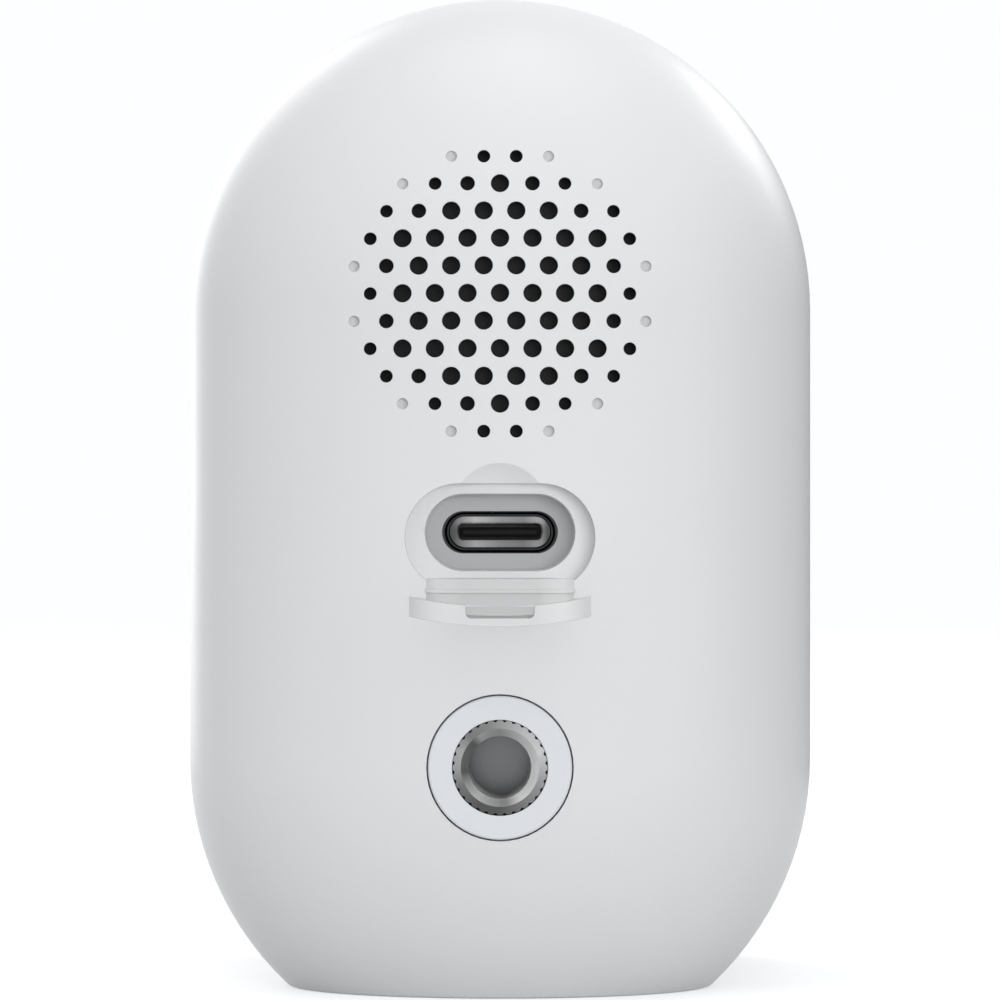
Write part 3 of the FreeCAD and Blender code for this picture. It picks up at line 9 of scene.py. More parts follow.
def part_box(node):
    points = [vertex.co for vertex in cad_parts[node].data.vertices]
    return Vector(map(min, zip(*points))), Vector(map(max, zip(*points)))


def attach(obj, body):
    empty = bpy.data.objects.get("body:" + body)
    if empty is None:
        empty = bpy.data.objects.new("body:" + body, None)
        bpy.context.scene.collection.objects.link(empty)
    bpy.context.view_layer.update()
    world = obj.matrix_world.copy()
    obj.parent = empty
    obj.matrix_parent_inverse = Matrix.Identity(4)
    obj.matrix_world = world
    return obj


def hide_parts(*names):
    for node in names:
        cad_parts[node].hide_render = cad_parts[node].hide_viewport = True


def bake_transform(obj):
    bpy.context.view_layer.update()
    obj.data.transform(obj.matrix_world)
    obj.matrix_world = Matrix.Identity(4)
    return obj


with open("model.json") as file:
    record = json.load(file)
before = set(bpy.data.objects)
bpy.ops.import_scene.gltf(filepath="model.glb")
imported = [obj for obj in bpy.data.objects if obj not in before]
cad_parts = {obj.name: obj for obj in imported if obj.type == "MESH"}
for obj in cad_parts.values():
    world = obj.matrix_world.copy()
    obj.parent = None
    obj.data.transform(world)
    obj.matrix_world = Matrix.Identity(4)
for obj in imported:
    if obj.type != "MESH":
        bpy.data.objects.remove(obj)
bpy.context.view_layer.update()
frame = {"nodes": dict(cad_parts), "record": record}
nodes = frame["nodes"]
mm = 0.001
turn = math.tau
print("frame loaded,", len(nodes), "nodes")


# An operator that adds one Math node; swapped puts the other value first.
def operator(operation, swapped=False):
    def apply(wire, other):
        first, second = (other, wire) if swapped else (wire, other)
        return wire.graph.node("ShaderNodeMath", {0: first, 1: second}, operation=operation)
    return apply


# A socket that can be used in sums.
class Wire:
    def __init__(self, graph, socket):
        self.graph = graph
        self.socket = socket

    def out(self, name):
        return Wire(self.graph, self.socket.node.outputs[name])

    def math(self, operation, *others):
        return self.graph.node("ShaderNodeMath", dict(enumerate((self, *others))), operation=operation)

    def held(self, low=0.0, high=1.0):
        return self.math("MAXIMUM", low).math("MINIMUM", high)

    def __abs__(self):
        return self.math("ABSOLUTE")

    __add__ = __radd__ = operator("ADD")
    __sub__, __rsub__ = operator("SUBTRACT"), operator("SUBTRACT", swapped=True)
    __mul__ = __rmul__ = operator("MULTIPLY")
    __truediv__, __rtruediv__ = operator("DIVIDE"), operator("DIVIDE", swapped=True)
    __pow__, __gt__, __lt__ = operator("POWER"), operator("GREATER_THAN"), operator("LESS_THAN")


# A node tree being built: node() makes one node and gives it its settings, then its sockets.
class Graph:
    def __init__(self, tree):
        self.tree = tree

    def node(self, kind, sockets=None, output=0, **settings):
        made = self.tree.nodes.new(kind)
        for name, value in settings.items():
            if name == "stops":
                ramp = made.color_ramp
                while len(ramp.elements) < len(value):
                    ramp.elements.new(0.5)
                for element, (place, tone) in zip(ramp.elements, value):
                    element.position = place
                    element.color = (tone, tone, tone, 1.0)
            else:
                setattr(made, name, value)
        for name, value in (sockets or {}).items():
            self.feed(made.inputs[name], value)
        return Wire(self, made.outputs[output])

    def feed(self, socket, value):
        if isinstance(value, Wire):
            self.tree.links.new(value.socket, socket)
        else:
            socket.default_value = value


def shade(color, factor):
    return tuple(min(1.0, part * factor) for part in color)


# How far each point is from a front to back axis, from its place across and above it.
def awayFrom(across, above):
    return (across * across + above * above) ** 0.5


def middleZ(node):
    low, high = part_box(node)
    return (low.z + high.z) / 2


# A material on the Principled shader, in the piece's own coordinates.
class Finish(Graph):
    def __init__(self, name, color, **fixed):
        self.material = bpy.data.materials.new(name)
        self.material.use_nodes = True
        super().__init__(self.material.node_tree)
        self.shader = self.tree.nodes["Principled BSDF"]
        self.color = (*color, 1.0)
        self.set("Base Color", self.color)
        for label, value in fixed.items():
            self.set(label.replace("_", " "), value)

    def set(self, label, value):
        self.feed(self.shader.inputs[label], value)

    def place(self):
        return self.node("ShaderNodeTexCoord", output="Object")

    def axes(self):
        split = self.node("ShaderNodeSeparateXYZ", {0: self.place()})
        return split.out("X"), split.out("Y"), split.out("Z")

    def noise(self, size, detail=2.0, stretch=None):
        where = self.place()
        if stretch:
            where = self.node("ShaderNodeMapping", {"Vector": where, "Scale": stretch})
        return self.node("ShaderNodeTexNoise", {"Vector": where, "Scale": 1 / size, "Detail": detail})

    def cells(self, size):
        return self.node("ShaderNodeTexVoronoi", {"Vector": self.place(), "Scale": 1 / size})

    def tint(self, mask, color):
        base = self.shader.inputs["Base Color"]
        before = Wire(self, base.links[0].from_socket) if base.links else self.color
        after = color if isinstance(color, Wire) else (*color, 1.0)
        mix = self.node("ShaderNodeMix", {0: mask, 6: before, 7: after}, 2, data_type="RGBA")
        self.set("Base Color", mix)

    def ramp(self, factor, stops):
        return self.node("ShaderNodeValToRGB", {0: factor}, stops=stops)

    def relief(self, height, depth, strength=1.0):
        normal = self.shader.inputs["Normal"]
        sockets = {"Height": height, "Distance": depth, "Strength": strength}
        if normal.links:
            sockets["Normal"] = Wire(self, normal.links[0].from_socket)
        self.set("Normal", self.node("ShaderNodeBump", sockets))

    def softEdges(self, radius):
        self.set("Normal", self.node("ShaderNodeBevel", {"Radius": radius}, samples=6))


# Moulded plastic: fine eroded grain, faint flow mottling and a roughness that drifts.
def moulded(name, color, roughness, grain=0.12 * mm, depth=0.004 * mm, edge=0, **fixed):
    made = Finish(name, color, **fixed)
    drift = made.noise(9 * mm, 3)
    made.tint(drift * 0.5, shade(color, 0.97))
    made.set("Roughness", drift * 0.08 + (roughness - 0.04))
    if edge:
        made.softEdges(edge)
    made.relief(made.noise(grain), depth, 0.35)
    return made


# Soft elastomer: matt skin with a fine bloom of handling marks.
def elastomer(name, color, roughness, edge=0):
    made = Finish(name, color)
    bloom = made.noise(2.5 * mm, 4)
    made.tint(bloom * 0.35, shade(color, 1.08))
    made.set("Roughness", bloom * 0.16 + (roughness - 0.08))
    if edge:
        made.softEdges(edge)
    made.relief(made.noise(0.08 * mm), 0.003 * mm, 0.4)
    return made


# Rolled or turned metal: streaks along one axis and a light stain.
def metal(name, color, roughness, streak=(1.0, 1.0, 14.0)):
    made = Finish(name, color, Metallic=1.0)
    streaks = made.noise(0.35 * mm, 3, streak)
    made.set("Roughness", streaks * 0.16 + (roughness - 0.08))
    made.tint(made.noise(3 * mm, 4) * 0.45, shade(color, 0.86))
    made.relief(streaks, 0.001 * mm, 0.3)
    return made


# Sine waves along one axis, from -1 to 1.
def waves(axis, pitch):
    return (axis * (turn / pitch)).math("SINE")


# Glass-epoxy board: weave under the mask, copper runs two ways and small tinned vias.
def circuitBoard(name, color):
    made = Finish(name, color, Roughness=0.32, Coat_Weight=0.35, Coat_Roughness=0.15)
    x, y, z = made.axes()
    runs = (waves(x, 1.3 * mm) > 0.55) * (made.noise(6 * mm, 1) > 0.5)
    cross = (waves(z, 1.1 * mm) > 0.6) * (made.noise(5 * mm, 1) > 0.53)
    tracks = runs.math("MAXIMUM", cross)
    made.tint(tracks * 0.6, shade(color, 1.9))
    made.tint(made.cells(1.7 * mm) < 0.11, (0.62, 0.58, 0.45))
    made.relief(tracks + waves(x, 0.4 * mm) * waves(z, 0.4 * mm) * 0.1, 0.02 * mm, 0.5)
    return made


# Woven acoustic cloth: an over and under weave in the upright plane.
def acousticCloth(name, color, pitch):
    made = Finish(name, color, Roughness=0.85)
    x, y, z = made.axes()
    thread = waves(x, pitch) * waves(z, pitch) * 0.5 + 0.5
    made.tint(thread * 0.7, shade(color, 1.7))
    made.tint(made.noise(1.2 * mm, 3) * 0.3, shade(color, 0.6))
    made.relief(thread, 0.03 * mm, 0.8)
    return made


# Pressed fibre, for the cone.
def fibre(name, color):
    made = Finish(name, color, Roughness=0.9)
    strands = made.noise(0.25 * mm, 5)
    made.tint(strands * 0.6, shade(color, 2.2))
    made.relief(strands, 0.03 * mm, 0.7)
    return made


# Clear glass or plastic with faint smears.
def clear(name, color, roughness):
    made = Finish(name, color, Transmission_Weight=1.0, IOR=1.5)
    made.set("Roughness", made.noise(4 * mm, 4) * 0.034 + roughness)
    made.relief(made.noise(0.6 * mm), 0.0005 * mm, 0.2)
    return made


# The lens's cover: a black printed border round a clear middle that mirrors only at a slant.
def borderedPane(name, color, clearRadius):
    made = Finish(name, color, Specular_IOR_Level=0.3)
    made.set("Roughness", made.noise(4 * mm, 4) * 0.03 + 0.04)
    x, y, z = made.axes()
    border = awayFrom(x, z - middleZ("lens_cover_glass")) > clearRadius
    slant = made.node("ShaderNodeLayerWeight", output="Facing")
    made.set("Alpha", (slant ** 4.0 * 0.6).math("MAXIMUM", border))
    return made


motionLens = {
    "ringPitch": 0.62 * mm,
    "facetSize": 2.6 * mm,
    "facetDrift": 0.35,
    "facetEdge": 0.03,
}


# A motion sensor's lens: shallow rings and facet edges in a milky skin.
def facetedLens(name, color, roughness):
    made = moulded(name, color, roughness, depth=0.001 * mm, Subsurface_Weight=0.2, Subsurface_Scale=1 * mm)
    x, y, z = made.axes()
    rings = waves(awayFrom(x, z - middleZ("pir_lens")), motionLens["ringPitch"])
    lines = made.node("ShaderNodeTexVoronoi", {
        "Vector": made.place(), "Scale": 1 / motionLens["facetSize"], "Randomness": motionLens["facetDrift"]},
        feature="DISTANCE_TO_EDGE")
    edges = lines < motionLens["facetEdge"]
    made.tint(edges * 0.35, shade(color, 0.8))
    made.tint(rings * 0.08 + 0.08, shade(color, 0.75))
    made.relief(rings * 0.5 - edges, 0.012 * mm, 0.7)
    return made


def chipPackage(name, color):
    made = Finish(name, color)
    speckle = made.cells(0.14 * mm)
    made.tint(speckle * 0.5, shade(color, 2.5))
    made.set("Roughness", speckle * 0.2 + 0.5)
    made.relief(speckle, 0.01 * mm, 0.4)
    return made


# A winding: fine turns stacked along the coil's axis.
def winding(name, color):
    made = Finish(name, color, Metallic=0.85, Roughness=0.3, Coat_Weight=0.5)
    x, y, z = made.axes()
    turns = waves(y, 0.14 * mm) * 0.5 + 0.5
    made.tint(1 - turns, shade(color, 0.35))
    made.relief(turns, 0.05 * mm)
    return made


# Coated lens glass: black inside, with the coating's violet sheen, darker to the rim.
def coatedGlass(name, color):
    made = Finish(name, color, IOR=1.6, Specular_Tint=(0.52, 0.42, 1.0, 1.0), Specular_IOR_Level=0.4)
    made.set("Roughness", made.noise(5 * mm, 3) * 0.02 + 0.05)
    low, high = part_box("lens_elements")
    x, y, z = made.axes()
    away = awayFrom(x, z - middleZ("lens_elements")) / (high.x - low.x) * 2
    made.tint(away.math("MINIMUM", 1.0) ** 2.0, (0.012, 0.010, 0.022))
    return made


finishes = {
    "white_plastic": moulded("shellWhite", (0.81, 0.815, 0.822), 0.38, edge=0.1 * mm),
    "white_rubber": elastomer("flapRubber", (0.82, 0.825, 0.825), 0.42, edge=0.14 * mm),
    "grey_rubber": elastomer("footRubber", (0.30, 0.31, 0.33), 0.7),
    "black_rubber": elastomer("sealRubber", (0.03, 0.03, 0.033), 0.7),
    "black_window": moulded("windowBlack", (0.010, 0.010, 0.012), 0.07, depth=0.0005 * mm,
                            Specular_IOR_Level=0.28),
    "black_plastic": moulded("blackPlastic", (0.025, 0.025, 0.028), 0.55),
    "grey_plastic": moulded("greyPlastic", (0.30, 0.31, 0.33), 0.5),
    "milky_plastic": facetedLens("milkyLens", (0.74, 0.74, 0.73), 0.28),
    "clear_plastic": clear("pipeClear", (0.92, 0.94, 0.95), 0.05),
    "steel": metal("sheetSteel", (0.56, 0.56, 0.57), 0.28),
    "zinc_steel": metal("zincScrew", (0.62, 0.64, 0.66), 0.34),
    "satin_ring": moulded("ringSatin", (0.79, 0.815, 0.845), 0.38, depth=0.002 * mm, edge=0.12 * mm),
    "insert_steel": metal("insertSteel", (0.45, 0.46, 0.46), 0.3, (1.0, 10.0, 1.0)),
    "cell_wrap": moulded("cellSleeve", (0.06, 0.16, 0.34), 0.3, grain=0.8 * mm, depth=0.01 * mm),
    "nickel": metal("nickelStrip", (0.62, 0.60, 0.54), 0.35),
    "gold": metal("goldContact", (0.90, 0.64, 0.26), 0.25),
    "copper": winding("coilWinding", (0.72, 0.36, 0.18)),
    "magnet": metal("magnetPlating", (0.45, 0.45, 0.46), 0.2),
    "board_green": circuitBoard("boardGreen", (0.015, 0.11, 0.045)),
    "board_black": circuitBoard("boardBlack", (0.012, 0.014, 0.015)),
    "chip_black": chipPackage("chipEpoxy", (0.02, 0.02, 0.022)),
    "socket_white": moulded("socketNylon", (0.70, 0.67, 0.58), 0.5),
    "ribbon": moulded("ribbonAmber", (0.50, 0.24, 0.05), 0.25),
    "lead_red": elastomer("leadRed", (0.45, 0.02, 0.02), 0.5),
    "cloth_mesh": acousticCloth("grilleCloth", (0.045, 0.045, 0.047), 0.16 * mm),
    "paper_cone": fibre("coneFibre", (0.03, 0.03, 0.03)),
    "clear_glass": clear("lensGlass", (0.62, 0.68, 0.80), 0.0),
    "filter_glass": clear("filterGlass", (0.70, 0.90, 0.95), 0.02),
    "sensor_glass": moulded("sensorDie", (0.05, 0.07, 0.11), 0.12, depth=0.0005 * mm),
    "led_clear": clear("emitterEpoxy", (0.85, 0.86, 0.80), 0.08),
}
for part in frame["record"]["subparts"]:
    data = nodes[part["node"]].data
    data.materials.clear()
    data.materials.append(finishes[part["material_slot"]].material)
print("finishes made,", len(finishes))


def added(name, data):
    made = bpy.data.objects.new(name, data)
    bpy.context.scene.collection.objects.link(made)
    return made


# A finished piece takes its material, its body and the node it stands for.
def fit(piece, slot, node=None, finish=None, body="housing"):
    piece.data.materials.clear()
    piece.data.materials.append((finish or finishes[slot]).material)
    if node:
        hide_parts(node)
    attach(piece, body)


sharpAngle = math.radians(30)


# Merges a work mesh and keeps only its sharp edges crisp. A new one also loses slivers and faces outwards.
def finished(work, mesh, newlyMade=True):
    bmesh.ops.remove_doubles(work, verts=work.verts, dist=1e-7)
    if newlyMade:
        bmesh.ops.dissolve_degenerate(work, edges=work.edges, dist=1e-8)
        bmesh.ops.recalc_face_normals(work, faces=work.faces)
    for face in work.faces:
        face.smooth = True
    for edge in work.edges:
        edge.smooth = edge.calc_face_angle(0.0) < sharpAngle
    work.to_mesh(mesh)
    work.free()


def mergedCopy(node, name):
    mesh = nodes[node].data.copy()
    mesh.name = name
    work = bmesh.new()
    work.from_mesh(mesh)
    finished(work, mesh, newlyMade=False)
    return added(name, mesh)


# A Geometry Nodes tree with named sizes; build() runs it once and keeps the plain mesh.
class Recipe(Graph):
    def __init__(self, name, sizes):
        self.name = name
        self.sizes = sizes
        super().__init__(bpy.data.node_groups.new(name, "GeometryNodeTree"))
        self.tree.interface.new_socket("Geometry", in_out="OUTPUT", socket_type="NodeSocketGeometry")
        for label, value in sizes.items():
            kind = "NodeSocketInt" if isinstance(value, int) else "NodeSocketFloat"
            self.tree.interface.new_socket(label, in_out="INPUT", socket_type=kind)
        entry = self.tree.nodes.new("NodeGroupInput")
        self.size = {label: Wire(self, entry.outputs[label]) for label in sizes}
        place = self.node("ShaderNodeSeparateXYZ", {0: self.node("GeometryNodeInputPosition")})
        self.u, self.v = place.out("X") + 0.5, place.out("Y") + 0.5
        self.bend = self.sweep = None

    # A skin of around by along steps whose points are where shape(u, v) puts them, u and v from 0 to 1.
    def skin(self, around, along, shape):
        grid = self.node("GeometryNodeMeshGrid", {
            "Size X": 1.0, "Size Y": 1.0, "Vertices X": around + 1, "Vertices Y": along + 1})
        where = self.point(*shape(self.u, self.v))
        return self.node("GeometryNodeSetPosition", {"Geometry": grid, "Position": where})

    def point(self, x, y, z):
        return self.node("ShaderNodeCombineXYZ", {"X": x, "Y": y, "Z": z})

    def moved(self, geometry, place=(0, 0, 0), angles=(0, 0, 0)):
        return self.node("GeometryNodeTransform", {
            "Geometry": geometry, "Translation": place, "Rotation": angles})

    def box(self, low, high, angles=(0, 0, 0), pivot=(0, 0, 0)):
        spans = tuple(b - a for a, b in zip(low, high))
        middle = tuple((a + b) / 2 for a, b in zip(low, high))
        cube = self.node("GeometryNodeMeshCube", {"Size": spans})
        return self.moved(self.moved(cube, middle), pivot, angles)

    # A round bar along Y, or along Z when it is upright.
    def rod(self, radius, start, end, across=0, along=0, sides=32, upright=False):
        made = self.node("GeometryNodeMeshCylinder", {
            "Vertices": sides, "Radius": radius, "Depth": end - start})
        if upright:
            return self.moved(made, (across, along, (start + end) / 2))
        return self.moved(made, (across, (start + end) / 2, along), (turn / 4, 0, 0))

    # A bar of slot section, wider by flare at its end; where it starts may follow a surface.
    def slotBar(self, middle, width, height, start, end, flare=0.0, steps=20, depthRows=1):
        if not self.bend:
            index = (1 - self.u) * (2 * steps + 2)
            swing = index.math("MINIMUM", steps) + (index - (steps + 1)).held(0.0, steps)
            swing = swing * (math.pi / steps) - math.pi / 2
            side = 1 - (index - steps).held() * 2
            side = side + (index - (2 * steps + 1)).math("MAXIMUM", 0.0) * 2
            self.bend = side, swing.math("COSINE"), swing.math("SINE")
        side, across, up = self.bend

        def shape(first, last):
            def at(u, v):
                wide, tall = (v * ((b - a) / 2) + a / 2 if a != b else a / 2
                              for a, b in zip(first[:2], last[:2]))
                x = side * (wide - tall) + across * tall
                z = up * tall + middle
                y1, y2 = (ring[2](x, z) if callable(ring[2]) else ring[2] for ring in (first, last))
                return x, v * (y2 - y1) + y1 if first[2] is not last[2] else y1, z
            return at
        rings = [(0.0, 0.0, start), (width, height, start),
                 (width + flare, height + flare, end), (0.0, 0.0, end)]
        skins = [self.skin(2 * steps + 2, depthRows, shape(*pair)) for pair in zip(rings, rings[1:])]
        return self.welded(self.join(skins))

    def welded(self, geometry):
        return self.node("GeometryNodeMergeByDistance", {"Geometry": geometry, "Distance": 1e-6})

    def combined(self, operation, parts, base=None):
        made = self.tree.nodes.new("GeometryNodeMeshBoolean")
        made.operation = operation
        made.solver = "MANIFOLD"
        if base:
            self.feed(made.inputs["Mesh 1"], base)
        for part in parts:
            self.feed(made.inputs["Mesh 2"], part)
        return Wire(self, made.outputs["Mesh"])

    def join(self, parts):
        joined = self.tree.nodes.new("GeometryNodeJoinGeometry")
        for part in reversed(parts):
            self.feed(joined.inputs[0], part)
        return Wire(self, joined.outputs[0])

    def build(self, geometry, finish):
        real = self.node("GeometryNodeRealizeInstances", {0: geometry})
        done = self.node("GeometryNodeSetMaterial", {"Geometry": real, "Material": finish.material})
        self.feed(self.tree.nodes.new("NodeGroupOutput").inputs[0], done)
        piece = added(self.name, bpy.data.meshes.new(self.name + "Seed"))
        modifier = piece.modifiers.new(self.name, "NODES")
        modifier.node_group = self.tree
        for item in self.tree.interface.items_tree:
            if item.in_out == "INPUT":
                modifier[item.identifier] = self.sizes[item.name]
        ready = piece.evaluated_get(bpy.context.evaluated_depsgraph_get())
        mesh = bpy.data.meshes.new_from_object(ready)
        piece.modifiers.clear()
        piece.data = mesh
        work = bmesh.new()
        work.from_mesh(mesh)
        finished(work, mesh)
        return piece


past = 1 * mm  # how far a cutter runs past the skin

# The shell's form: a capsule outline with an elliptical dome behind it.
shell = {
    "radius": 26.3 * mm,
    "domeDepth": 18.2 * mm,
    "domeStart": 6.8 * mm,
    "lowerZ": 19.35 * mm,
    "upperZ": 57.2 * mm,
    "seamY": -18.0 * mm,
    "rearY": 25.0 * mm,
    "wall": 2.0 * mm,
    "floorZ": 2.4 * mm,
    "footRadius": 1.0 * mm,
    "seamChamfer": 0.2 * mm,
}
shellSteps = {"foot": 4, "lower": 14, "side": 8, "upper": 28, "round": 24, "forward": 6}
skinBand = 0.0012  # share of the form's size within which a point counts as on the skin

grille = {
    "middleZ": 58.0 * mm,
    "columnPitch": 2.65 * mm,
    "rowPitch": 2.25 * mm,
    "rows": 11,
    "wide": 1.5 * mm,
    "wideReach": 9.15 * mm,
    "middling": 1.2 * mm,
    "middlingReach": 9.76 * mm,
    "narrow": 1.05 * mm,
    "narrowReach": 11.8 * mm,
    "dimple": 0.9 * mm,
    "dimpleReach": 12.2 * mm,
    "dimpleDepth": 0.5 * mm,
    "seatY": 18.6 * mm,
    "boreRadius": 12.4 * mm,
}

# The charging port: a recess for the flap, and in it a flared well with the socket's throat.
port = {
    "recessZ": 38.08 * mm,
    "recessWidth": 15.54 * mm,
    "recessHeight": 8.84 * mm,
    "recessDepth": 1.7 * mm,
    "recessWall": 1.2 * mm,
    "blockY": 19.3 * mm,
    "wellZ": 38.5 * mm,
    "wellWidth": 12.08 * mm,
    "wellHeight": 6.04 * mm,
    "wellFlare": 0.36 * mm,
    "floorY": 20.7 * mm,
    "mouthY": 23.8 * mm,
    "throatWidth": 9.1 * mm,
    "throatHeight": 3.32 * mm,
    "throatY": 18.3 * mm,
    "dishRadius": 7.521 * mm,
    "dishY": 31.121 * mm,
    "dishZ": 39.82 * mm,
    "wellSkirt": 0.12 * mm,
    "holeShade": 0.16 * mm,
    "wellGrey": (0.475, 0.48, 0.485),
}

# The underside: a rounded recess for the pad and the button's hole.
under = {
    "padWidth": 27 * mm,
    "padDepth": 23 * mm,
    "padY": 2 * mm,
    "padCorner": 4 * mm,
    "padRecess": 1 * mm,
    "buttonRadius": 2.6 * mm,
    "buttonY": -14.2 * mm,
}

# Four ribs steady the seam, at this angle in degrees from the level of each end's centre.
seamRib = {"start": 20.9 * mm, "length": 7 * mm, "halfWidth": 1.6 * mm, "angle": 30.5}


# The same round feature on both sides, in millimetres: radius, from y, to y, x, z.
def bothSides(radius, start, end, x, z):
    return [(radius, start, end, side * x, z) for side in (1, -1)]


shellBosses = [(15.3, 18.6, 25, 0, 58), (7.6, 14.1, 25, 0, 19.35)] + (
    bothSides(1.8, 17.1, 25, 17.2, 58) + bothSides(1.8, 11.6, 25, 9.37, 38.08)
    + bothSides(2.3, -18, -11, 18.09, 67.86) + bothSides(2.3, -18, -11, 18.09, 8.69))
shellHoles = [(3.895, 15.5, 26, 0, 19.35), (6.0, 22.58, 26, 0, 19.35)] + (
    bothSides(0.46, 18.3, 26, 3.2, 34.18)
    + bothSides(0.83, 16, 19.3, 17.2, 58) + bothSides(0.83, 11, 14.8, 9.37, 38.08)
    + bothSides(1.13, -19, -11.8, 18.09, 67.86) + bothSides(1.13, -19, -11.8, 18.09, 8.69))


# How far round the form each point is (1 on the skin), and the outward direction there.
def formAt(places):
    core = np.clip(places[:, 2], shell["lowerZ"], shell["upperZ"])
    across = places[:, 0]
    up = places[:, 2] - core
    behind = np.maximum(places[:, 1] - shell["domeStart"], 0)
    wide, deep = shell["radius"] ** 2, shell["domeDepth"] ** 2
    share = (across ** 2 + up ** 2) / wide + behind ** 2 / deep
    slope = np.stack((across / wide, behind / deep, up / wide), 1)
    return np.sqrt(share), slope / np.maximum(np.linalg.norm(slope, axis=1, keepdims=True), 1e-9)


def readArray(collection, attribute, width, kind=np.float32):
    flat = np.zeros(len(collection) * width, kind)
    collection.foreach_get(attribute, flat)
    return flat.reshape(-1, width) if width > 1 else flat


# Skin faces take the form's own direction, so the dome shades as one smooth surface.
def smoothSkin(mesh):
    share, slope = formAt(readArray(mesh.vertices, "co", 3).astype(float))
    onSkin = np.abs(share - 1) < skinBand
    normals = readArray(mesh.corner_normals, "vector", 3).copy()
    corner = readArray(mesh.loops, "vertex_index", 1, np.int32)
    for face in mesh.polygons:
        loops = list(face.loop_indices)
        ends = corner[loops]
        if onSkin[ends].all() and slope[ends].mean(0) @ np.array(face.normal) > 0.9:
            normals[loops] = slope[ends]
    mesh.normals_split_custom_set(normals)


# The well's floor is painted a darker grey than the shell, and the floor round the throat nearly black as
# shadow.
def paintWell(made):
    low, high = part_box("usb_shell")
    x, y, z = made.axes()
    reach = port["wellWidth"] / 2 - port["wellHeight"] / 2
    away = awayFrom((abs(x) - reach).math("MAXIMUM", 0.0), z - middleZ("usb_shell"))
    onFloor = y < port["floorY"] + port["wellSkirt"]
    made.tint((away < port["wellHeight"] / 2 + port["wellSkirt"]) * onFloor, port["wellGrey"])
    # Painted shadow, nearly black, on the floor just round the throat's hole.
    made.tint((away < (high.z - low.z) / 2 + port["holeShade"]) * onFloor, (0.02, 0.02, 0.02))


# Where each column of the sweep stands: its side, across, behind, forward along the side, at the seam.
def sweepColumns(recipe):
    rounding, forward = shellSteps["round"], shellSteps["forward"]
    half = rounding + forward + 1
    place = 1 - recipe.u * 2
    share = abs(place) * half
    angle = (1 - (share / rounding).math("MINIMUM", 1.0)) * (turn / 4)
    straight = ((share - rounding) / forward).held()
    last = (share - (half - 1)).math("MAXIMUM", 0.0)
    return 2 * half, place.math("SIGN"), angle.math("COSINE"), angle.math("SINE"), straight, last


# The domed body as a closed solid: rows up its outline, each swept round the back.
def domedBody(recipe, inset, floorZ, frontY, foot=0.0, chamfer=0.0):
    size = recipe.size
    recipe.sweep = recipe.sweep or sweepColumns(recipe)
    columns, hand, across, behind, straight, last = recipe.sweep
    radius, depth = size["radius"] - inset, size["domeDepth"] - inset
    low, high = size["lowerZ"], size["upperZ"]
    drop = low - floorZ - foot
    footX = ((radius - foot) ** 2.0 - drop ** 2.0) ** 0.5
    footAngle = drop.math("ARCTAN2", footX)
    squash = depth / radius * behind
    forward = straight * (size["domeStart"] - frontY - chamfer)
    edge = last * chamfer

    def arc(angle, centreX, centreZ, reach):
        sideways, upwards = angle.math("COSINE"), angle.math("SINE")
        return centreX + sideways * reach, centreZ + upwards * reach, sideways, upwards

    rows = [(1, lambda v: (footX * v, floorZ + v * 0, 0.0, -1.0))]
    if foot:
        rows.append((shellSteps["foot"], lambda v: arc(
            (turn / 4 - footAngle) * v - turn / 4, footX, floorZ + foot, foot)))
    rows += [(shellSteps["lower"], lambda v: arc(footAngle * (v - 1), 0.0, low, radius)),
             (shellSteps["side"], lambda v: (radius + v * 0, low + (high - low) * v, 1.0, 0.0)),
             (shellSteps["upper"], lambda v: arc(v * (turn / 4), 0.0, high, radius))]
    skins = []
    for count, profile in rows:
        reach, z, sideways, upwards = profile(recipe.v)
        side = reach * across, size["domeStart"] + reach * squash - forward, z
        front = reach * (recipe.u * 2 - 1), frontY, z
        if chamfer:
            side = side[0] - edge * sideways, side[1] - edge, z - edge * upwards
            front = (reach - sideways * chamfer) * (recipe.u * 2 - 1), frontY, z - upwards * chamfer
        skins.append(recipe.skin(columns, count, lambda u, v: (side[0] * hand, side[1], side[2])))
        if count > 1:
            skins.append(recipe.skin(2, count, lambda u, v: front))
    return recipe.welded(recipe.join(skins))


# Depth of the form's skin behind a point, at one inset.
def skinY(size, inset):
    def at(x, z):
        up = z - z.held(size["lowerZ"], size["upperZ"])
        share = (x * x + up * up) / ((size["radius"] - inset) * (size["radius"] - inset))
        return size["domeStart"] + (size["domeDepth"] - inset) * (1 - share).math("MAXIMUM", 0.0) ** 0.5
    return at


